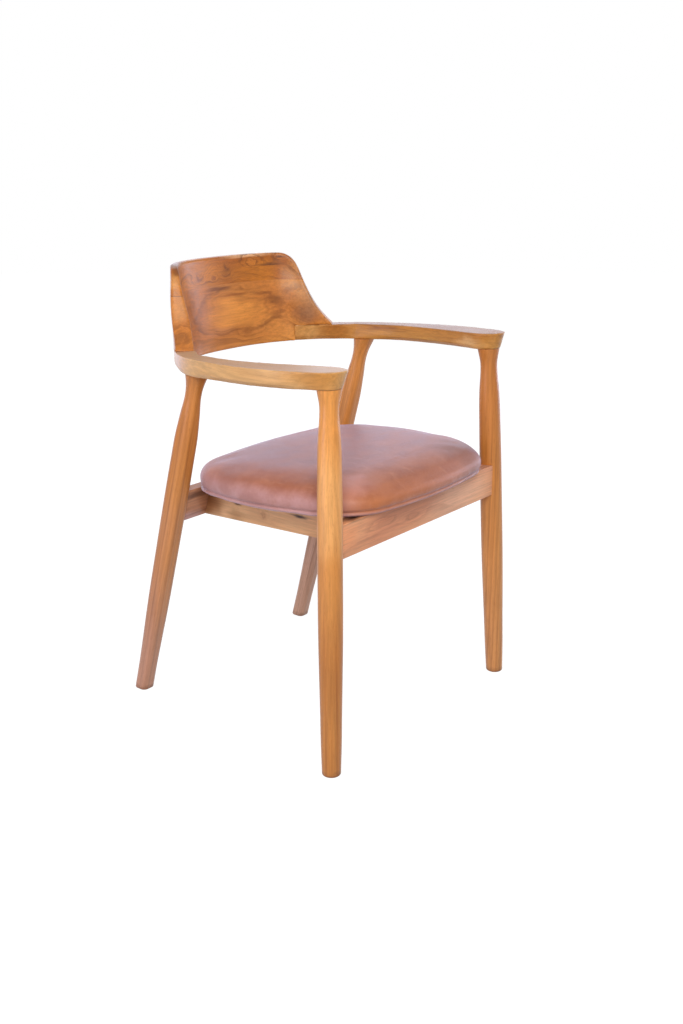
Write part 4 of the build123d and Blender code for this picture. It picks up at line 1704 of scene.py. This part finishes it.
@dataclass
class SeatFrame:
    """The seat rails, with their edges just broken, and the hidden blocks and dowels.

    Attributes:
        effects: the shared node groups.
        edge: how wide the broken edges are.
        flat: the angle, in degrees, under which faces count as one.
        cornered: the angle, in degrees, over which an edge is broken.
        sharp: the angle, in degrees, over which an edge stays sharp.
        cuts: how each rail was cut.
        raw: the wood of the blocks and dowels.
    """

    effects: Effects
    edge: float = 0.0011
    flat: float = 1.0
    cornered: float = 40.0
    sharp: float = 35.0
    cuts: tuple[RailCut, ...] = (
        RailCut(
            "front_rail",
            GrainWay.ACROSS,
            (0.02, -0.52, 0.34),
            PINK,
            wander=0.035,
            wander_scale=9.0,
            knots=(
                Knot((-0.11, -0.224, 0.388), (0.050, 0.03, 0.010), 1.6, 0.2, (150, 88, 52), 0.8),
                Knot((-0.03, -0.224, 0.378), (0.030, 0.03, 0.008), 1.4, 0.2, (150, 88, 52), 0.7),
                Knot((-0.205, -0.224, 0.39), (0.045, 0.03, 0.030), 0.2, 0.7, (240, 158, 106)),
                # painted shadow: a dark slit under the pad's front edge
                Knot((-0.172, -0.212, 0.4085), (0.046, 0.020, 0.0055), 0.0, 1.0, (48, 26, 18)),
                Knot((0.10, -0.224, 0.38), (0.13, 0.03, 0.05), 0.0, 0.65, (242, 190, 156)),
            ),
        ),
        RailCut(
            "rear_rail",
            GrainWay.ACROSS,
            (0.0, 0.30, 0.28),
            BROWN,
            contrast=0.5,
            knots=(
                # painted shadows: dark patches under the pad, by the rear legs
                Knot((-0.18, 0.13, 0.386), (0.05, 0.05, 0.010), 0.5, 0.9, (92, 52, 34)),
                Knot((0.18, 0.13, 0.386), (0.05, 0.05, 0.010), 0.5, 0.9, (92, 52, 34)),
                # a painted lavender-grey reflection low on the rail's face
                Knot((-0.19, 0.131, 0.345), (0.04, 0.04, 0.014), 0.0, 0.7, (196, 158, 160)),
            ),
        ),
        RailCut("side_rail_left", GrainWay.FORWARD, (0.26, 0.0, 0.28), TAN),
        RailCut(
            "side_rail_right",
            GrainWay.FORWARD,
            (-0.34, 0.0, 0.28),
            TAN,
            wander_scale=8.0,
            knots=(
                Knot((-0.15, -0.005, 0.365), (0.02, 0.012, 0.010), 2.2, 0.35, (150, 92, 50), 0.8),
                # painted shade: the dark rear end, by the rear rail and leg
                Knot((-0.15, 0.128, 0.375), (0.03, 0.062, 0.05), 0.3, 0.9, (140, 86, 48)),
                Knot((-0.15, 0.060, 0.350), (0.03, 0.030, 0.02), 0.4, 0.6, (178, 130, 84)),
                # painted shadows: two dark slits under the pad's side edge
                Knot((-0.152, 0.055, 0.3745), (0.02, 0.018, 0.0042), 0.0, 0.9, (60, 38, 26)),
                Knot((-0.152, -0.084, 0.3795), (0.02, 0.030, 0.0042), 0.0, 1.0, (46, 28, 22)),
            ),
        ),
    )
    raw: TeakFinish = TeakFinish(
        name="raw_beech",
        way=GrainWay.ACROSS,
        heart=(0.0, -0.5, 0.1),
        tones=WoodTones(
            (222, 188, 140), (208, 170, 122), (190, 148, 102), (164, 118, 76), (206, 160, 112)
        ),
        spacing=0.004,
        wander=0.01,
        contrast=0.3,
        roughness=0.65,
    )

    def build(self) -> None:
        """Builds the rails and dresses what they hide."""
        for cut in self.cuts:
            self.rail(cut)
        raw = self.raw.make(self.effects)
        blocks = [f"corner_block_{end}_{side.value}" for end in ("front", "rear") for side in Side]
        for node in (*blocks, "arm_dowels", "back_dowels"):
            dress(node, raw)

    def rail(self, cut: RailCut) -> None:
        """Makes one rail with broken edges in place of its plain solid.

        Args:
            cut: how the rail was cut.
        """
        work = merged((cut.node,))
        bmesh.ops.dissolve_limit(
            work, angle_limit=math.radians(self.flat), verts=work.verts[:], edges=work.edges[:]
        )
        rail = new_piece(f"{cut.node}_planed", work)
        bevel = rail.modifiers.new("broken_edges", "BEVEL")
        bevel.width = self.edge
        bevel.segments = 2
        bevel.limit_method = "ANGLE"
        bevel.angle_limit = math.radians(self.cornered)
        apply_modifier(rail, bevel.name)
        coat(rail, cut.finish().make(self.effects), self.sharp)
        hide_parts(cut.node)
        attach(rail, "root")


@dataclass
class SeatPad:
    """The padded seat: leather over foam on a board, tightened by a short cloth simulation.

    A height in this class is measured square to the seat frame, from the pad's flat underside.

    Attributes:
        effects: the shared node groups.
        tilt: how far the seat rises to the front, in degrees.
        voxel: how wide the first mesh's squares are.
        held_height: the height of the band that stays on the board as the pad swells.
        pressure: how strongly the foam presses the leather out.
        stretch, bend: how stiff the leather is against stretching and bending.
        shrink: how far the leather shrinks, as a share.
        frames: how many frames the swelling takes.
        swell_cap: how far any point may move as the pad swells.
        loose_from: the heights between which smoothing grows to its full strength.
        underside: how much the underside is smoothed, 0 to 1.
        passes: how many times the pad is evened out.
        fullness: how far the sides stand out over the board.
        full_to: the height from which the sides stand out fully.
        full_over: the height at which they stop to stand out, and the one where that begins.
        shoulders: how far the bend between side and crown stands out, at the front, sides and rear.
        shoulder_from: the heights between which that bend begins.
        shoulder_width: the power that widens that bend, lower for wider.
        rear_spread: how far the pad's lower rear edge spreads over the rail.
        spread_to: the height up to which it spreads.
        rim_height: the middle of the groove that lies over the rolled rim.
        rim_depth: how far the groove draws in.
        groove_share: half the groove's width, as a share of its height.
        bead: how far the rolled rim stands out.
        bead_to: the height up to which it stands out fully.
        hem_width: how far the leather is turned under the board.
        hem_recess: how deep the board lies behind the turned leather.
        hem_slope: how steeply the hem's inner edge falls to that depth.
        hem_height: the height under which the hem lies.
    """

    effects: Effects
    tilt: float = 2.2
    voxel: float = 0.005
    held_height: float = 0.014
    pressure: float = 4.0
    stretch: float = 40.0
    bend: float = 12.0
    shrink: float = 0.010
    frames: int = 20
    swell_cap: float = 0.0020
    loose_from: Span = (0.006, 0.022)
    underside: float = 0.12
    passes: int = 30
    fullness: float = 0.0035
    full_to: float = 0.026
    full_over: Span = (0.046, 0.028)
    shoulders: Triple = (-0.0035, 0.0030, 0.0058)
    shoulder_from: Span = (0.018, 0.044)
    shoulder_width: float = 0.6
    rear_spread: float = 0.007
    spread_to: float = 0.010
    rim_height: float = 0.0085
    rim_depth: float = 0.0026
    groove_share: float = 0.55
    bead: float = 0.0012
    bead_to: float = 0.004
    hem_width: float = 0.026
    hem_recess: float = 0.005
    hem_slope: float = 30.0
    hem_height: float = 0.004
    up: Vector = field(init=False)

    def __post_init__(self) -> None:
        """Works out the direction square to the seat frame."""
        angle = math.radians(self.tilt)
        self.up = Vector((0.0, math.sin(angle), math.cos(angle)))

    def build(self) -> None:
        """Builds the pad in place of the leather and the foam."""
        pad = new_piece("seat_cover", merged(("seat_leather", "seat_foam", "seat_board")))
        even_mesh(pad, self.voxel)
        self.swell(pad)
        self.refine(pad)
        self.shape(pad)
        pad.data.materials.clear()
        pad.data.materials.append(LeatherFinish().make(self.effects))
        only(pad)
        bpy.ops.object.shade_smooth()
        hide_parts("seat_leather", "seat_foam")
        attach(pad, "root")
        log.info("%s has %d faces", pad.name, len(pad.data.polygons))

    def heights(self, pad: bpy.types.Object) -> list[float]:
        """Measures the height of each of the pad's vertices.

        Args:
            pad: the pad's mesh object.

        Returns:
            The heights over the flat underside, in the vertices' order.
        """
        flat = min(vertex.co.dot(self.up) for vertex in pad.data.vertices)
        return [vertex.co.dot(self.up) - flat for vertex in pad.data.vertices]

    def swell(self, pad: bpy.types.Object) -> None:
        """Tightens the leather over the foam with Blender's cloth.

        Args:
            pad: the pad's mesh object.
        """
        before = [vertex.co.copy() for vertex in pad.data.vertices]
        held = pad.vertex_groups.new(name="held")
        for index, height in enumerate(self.heights(pad)):
            if height < self.held_height:
                held.add([index], 1.0, "REPLACE")
        cloth = pad.modifiers.new("swell", "CLOTH")
        settings = cloth.settings
        settings.vertex_group_mass = held.name
        settings.use_pressure = True
        settings.uniform_pressure_force = self.pressure
        settings.tension_stiffness = self.stretch
        settings.compression_stiffness = self.stretch
        settings.bending_stiffness = self.bend
        settings.shrink_min = self.shrink
        settings.effector_weights.gravity = 0.0
        for number in range(1, self.frames + 1):
            bpy.context.scene.frame_set(number)
        apply_modifier(pad, cloth.name)
        bpy.context.scene.frame_set(1)
        for vertex, start in zip(pad.data.vertices, before):
            move = vertex.co - start
            if move.length > self.swell_cap:
                vertex.co = start + move * (self.swell_cap / move.length)
        pad.vertex_groups.clear()

    def refine(self, pad: bpy.types.Object) -> None:
        """Smooths the pad, least along its underside, and parts each face in four.

        Args:
            pad: the pad's mesh object.
        """
        loose = pad.vertex_groups.new(name="loose")
        for index, height in enumerate(self.heights(pad)):
            weight = self.underside + (1 - self.underside) * ramp(height, *self.loose_from)
            loose.add([index], weight, "REPLACE")
        smooth_group(pad, loose, self.passes)
        finer = pad.modifiers.new("finer", "SUBSURF")
        finer.levels = 1
        finer.render_levels = 1
        apply_modifier(pad, finer.name)

    def shape(self, pad: bpy.types.Object) -> None:
        """Fills out the sides, rolls the rim and opens the hem under the board.

        Args:
            pad: the pad's mesh object.
        """
        low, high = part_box("seat_leather")
        middle_y = (low[1] + high[1]) / 2
        board_low, board_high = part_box("seat_board")
        inner_x = (board_high[0] - board_low[0]) / 2 - self.hem_width
        inner_y = (board_high[1] - board_low[1]) / 2 - self.hem_width
        heights = self.heights(pad)
        normals = [vertex.normal.copy() for vertex in pad.data.vertices]
        rim = pad.data.attributes.new("rim", "FLOAT", "POINT")
        for vertex, height, normal in zip(pad.data.vertices, heights, normals):
            vertex.co += self.side_move(height, normal)
            rim.data[vertex.index].value = self.rolled(height, normal)
            at_x = abs(vertex.co.x) / inner_x
            at_y = abs(vertex.co.y - middle_y) / inner_y
            inside = 1.0 - (at_x**4 + at_y**4) ** 0.25
            if height < self.hem_height and normal.dot(self.up) < -0.5 and inside > 0.0:
                vertex.co += self.up * self.hem_recess * min(1.0, inside * self.hem_slope)

    def rolled(self, height: float, normal: Vector) -> float:
        """Says how far a place belongs to the rolled rim.

        Args:
            height: the place's height.
            normal: the direction that the surface faces there.

        Returns:
            How far it does, 0 to 1.
        """
        sideways = min(1.0, math.hypot(normal.x, normal.y))
        return ramp(height, self.rim_height, self.bead_to) * sideways

    def side_move(self, height: float, normal: Vector) -> Vector:
        """Works out how far a place moves out or in.

        Args:
            height: the place's height.
            normal: the direction that the surface faces there.

        Returns:
            The way it moves.
        """
        flat = Vector((normal.x, normal.y, 0.0))
        sideways = min(1.0, flat.length)
        flat.normalize()
        full = ramp(height, self.rim_height, self.full_to) * ramp(height, *self.full_over)
        out = self.fullness * full * sideways
        rearward = ramp(height, self.spread_to, 0.0) * min(1.0, sideways * 2.5) * max(0.0, flat.y)
        out += self.rear_spread * rearward
        away = abs(height - self.rim_height) / (self.rim_height * self.groove_share)
        if away < 1.0 and normal.dot(self.up) > -0.6:
            out -= self.rim_depth * 0.5 * (1 + math.cos(math.pi * away))
        out += self.bead * self.rolled(height, normal)
        return flat * out + normal * self.shoulder(height, normal, flat.y)

    def shoulder(self, height: float, normal: Vector, rearward: float) -> float:
        """Works out how far the bend between side and crown stands out at a place.

        Args:
            height: the place's height.
            normal: the direction that the surface faces there.
            rearward: how far that is to the rear, -1 to 1.

        Returns:
            How far it stands out.
        """
        if height <= self.rim_height:
            return 0.0
        slope = min(1.0, max(0.0, normal.dot(self.up)))
        front, sides, rear = self.shoulders
        turned = sides + rearward * ((rear - sides) if rearward > 0 else (sides - front))
        bend = max(0.0, math.sin(math.pi * slope)) ** self.shoulder_width
        return turned * bend * ramp(height, *self.shoulder_from)


@dataclass
class SeatParts:
    """What the pad sits on and is held by: the board and the screws.

    Attributes:
        effects: the shared node groups.
    """

    effects: Effects

    def dress(self) -> None:
        """Dresses the board and the screws."""
        dress("seat_board", PlywoodFinish().make(self.effects))
        dress("seat_screws", SteelFinish().make(self.effects))


@dataclass(frozen=True)
class Lamp:
    """One square soft lamp.

    Attributes:
        name: its name.
        place: where it hangs.
        size: the length of its side.
        power: its power in watts.
        colour: its linear colour.
    """

    name: str
    place: Triple
    size: float
    power: float
    colour: Triple

    def hang(self, aim: Triple) -> None:
        """Hangs the lamp.

        Args:
            aim: the place that it points at.
        """
        data = bpy.data.lights.new(f"lamp_{self.name}", "AREA")
        data.size = self.size
        data.energy = self.power
        data.color = self.colour
        lamp = bpy.data.objects.new(f"lamp_{self.name}", data)
        lamp.location = self.place
        way = Vector(aim) - Vector(self.place)
        lamp.rotation_euler = way.to_track_quat("-Z", "Y").to_euler()
        bpy.context.scene.collection.objects.link(lamp)
        log.info("lamp %s hung", self.name)


@dataclass
class Studio:
    """A white floor and room with plain soft light.

    Attributes:
        floor_radius: how far the floor reaches.
        seen_grey: the floor's colour to the camera, in the lamps' light.
        seen_glow: the colour in which it glows to the camera besides.
        lit_grey: its colour to the chair.
        white: the room's colour to the camera.
        soft: the colour of the room's light on the chair.
        soft_strength: how strong that light is.
        aim: the place that the lamps point at.
        lamps: the lamps.
    """

    floor_radius: float = 7.0
    seen_grey: Triple = (0.25, 0.25, 0.25)
    seen_glow: Triple = (0.90, 0.90, 0.90)
    lit_grey: Triple = (0.40, 0.40, 0.40)
    white: Triple = (1.0, 1.0, 1.0)
    soft: Triple = (0.95, 0.96, 1.0)
    soft_strength: float = 0.42
    aim: Triple = (0.0, 0.0, 0.5)
    lamps: tuple[Lamp, ...] = (
        Lamp("key", (-1.75, -1.55, 1.95), 1.5, 57.0, (1.0, 0.97, 0.92)),
        Lamp("side", (2.5, -0.75, 0.8), 1.3, 26.0, (0.74, 0.76, 1.0)),
        Lamp("rear", (2.3, 2.1, 1.5), 2.2, 14.0, (0.74, 0.74, 1.0)),
        Lamp("window", (-2.4, 0.6, 0.5), 1.2, 19.0, (0.72, 0.72, 1.0)),
        Lamp("rim", (0.35, 2.6, 0.9), 1.6, 12.0, (0.70, 0.74, 1.0)),
    )

    def build(self) -> None:
        """Builds the floor, the room's light and the lamps."""
        self.floor()
        self.room()
        for lamp in self.lamps:
            lamp.hang(self.aim)

    def show(self, sheet: Sheet, lit: Socket, seen: Socket, output: str) -> None:
        """Shows one shader to the camera and in reflections, and another to the chair.

        Args:
            sheet: the node tree.
            lit: the shader that the chair meets.
            seen: the shader that the camera, a gloss and a clear thing show.
            output: the kind of the tree's output node.
        """
        rays = sheet.add("LightPath")
        straight = sheet.maths("ADD", rays.outputs["Is Camera Ray"], rays.outputs["Is Glossy Ray"])
        straight = sheet.maths("ADD", straight, rays.outputs["Is Transmission Ray"], clamp=True)
        pick = sheet.add("MixShader")
        for socket, value in zip(pick.inputs, (straight, lit, seen)):
            sheet.feed(socket, value)
        sheet.give(sheet.add(output), Surface=pick.outputs["Shader"])

    def floor(self) -> None:
        """Lays a white floor that keeps the chair's shadow."""
        bpy.ops.object.select_all(action="DESELECT")
        bpy.ops.mesh.primitive_circle_add(
            vertices=96, radius=self.floor_radius, fill_type="NGON", location=(0.0, 0.0, 0.0)
        )
        floor = bpy.context.active_object
        floor.name = "studio_floor"
        material = bpy.data.materials.new("studio_white")
        material.use_nodes = True
        sheet = Sheet(material.node_tree)
        lit = sheet.give(sheet.add("BsdfDiffuse"), Color=(*self.lit_grey, 1.0))
        grey = sheet.give(sheet.add("BsdfDiffuse"), Color=(*self.seen_grey, 1.0))
        glow = sheet.give(sheet.add("Emission"), Color=(*self.seen_glow, 1.0))
        both = sheet.add("AddShader")
        sheet.feed(both.inputs[0], grey.outputs["BSDF"])
        sheet.feed(both.inputs[1], glow.outputs["Emission"])
        self.show(sheet, lit.outputs["BSDF"], both.outputs["Shader"], "OutputMaterial")
        floor.data.materials.append(material)
        log.info("floor laid, %.1f m wide", 2 * self.floor_radius)

    def room(self) -> None:
        """Makes the room white to the camera and softly bright to the chair."""
        world = bpy.data.worlds.new("white_room")
        bpy.context.scene.world = world
        world.use_nodes = True
        sheet = Sheet(world.node_tree)
        seen = sheet.add("Background")
        sheet.give(seen, Color=(*self.white, 1.0), Strength=1.0)
        lit = sheet.add("Background")
        sheet.give(lit, Color=(*self.soft, 1.0), Strength=self.soft_strength)
        self.show(sheet, lit.outputs["Background"], seen.outputs["Background"], "OutputWorld")


def main() -> None:
    """Builds and dresses the chair, then the studio round it."""
    bpy.context.scene.view_settings.view_transform = "Standard"
    bpy.ops.object.select_all(action="DESELECT")
    effects = Effects()
    PhotographCamera().build()
    BackBoards(effects).build()
    Arms(effects).build()
    Legs(effects).dress()
    SeatFrame(effects).build()
    SeatParts(effects).dress()
    SeatPad(effects).build()
    Studio().build()


if __name__ == "__main__":
    main()
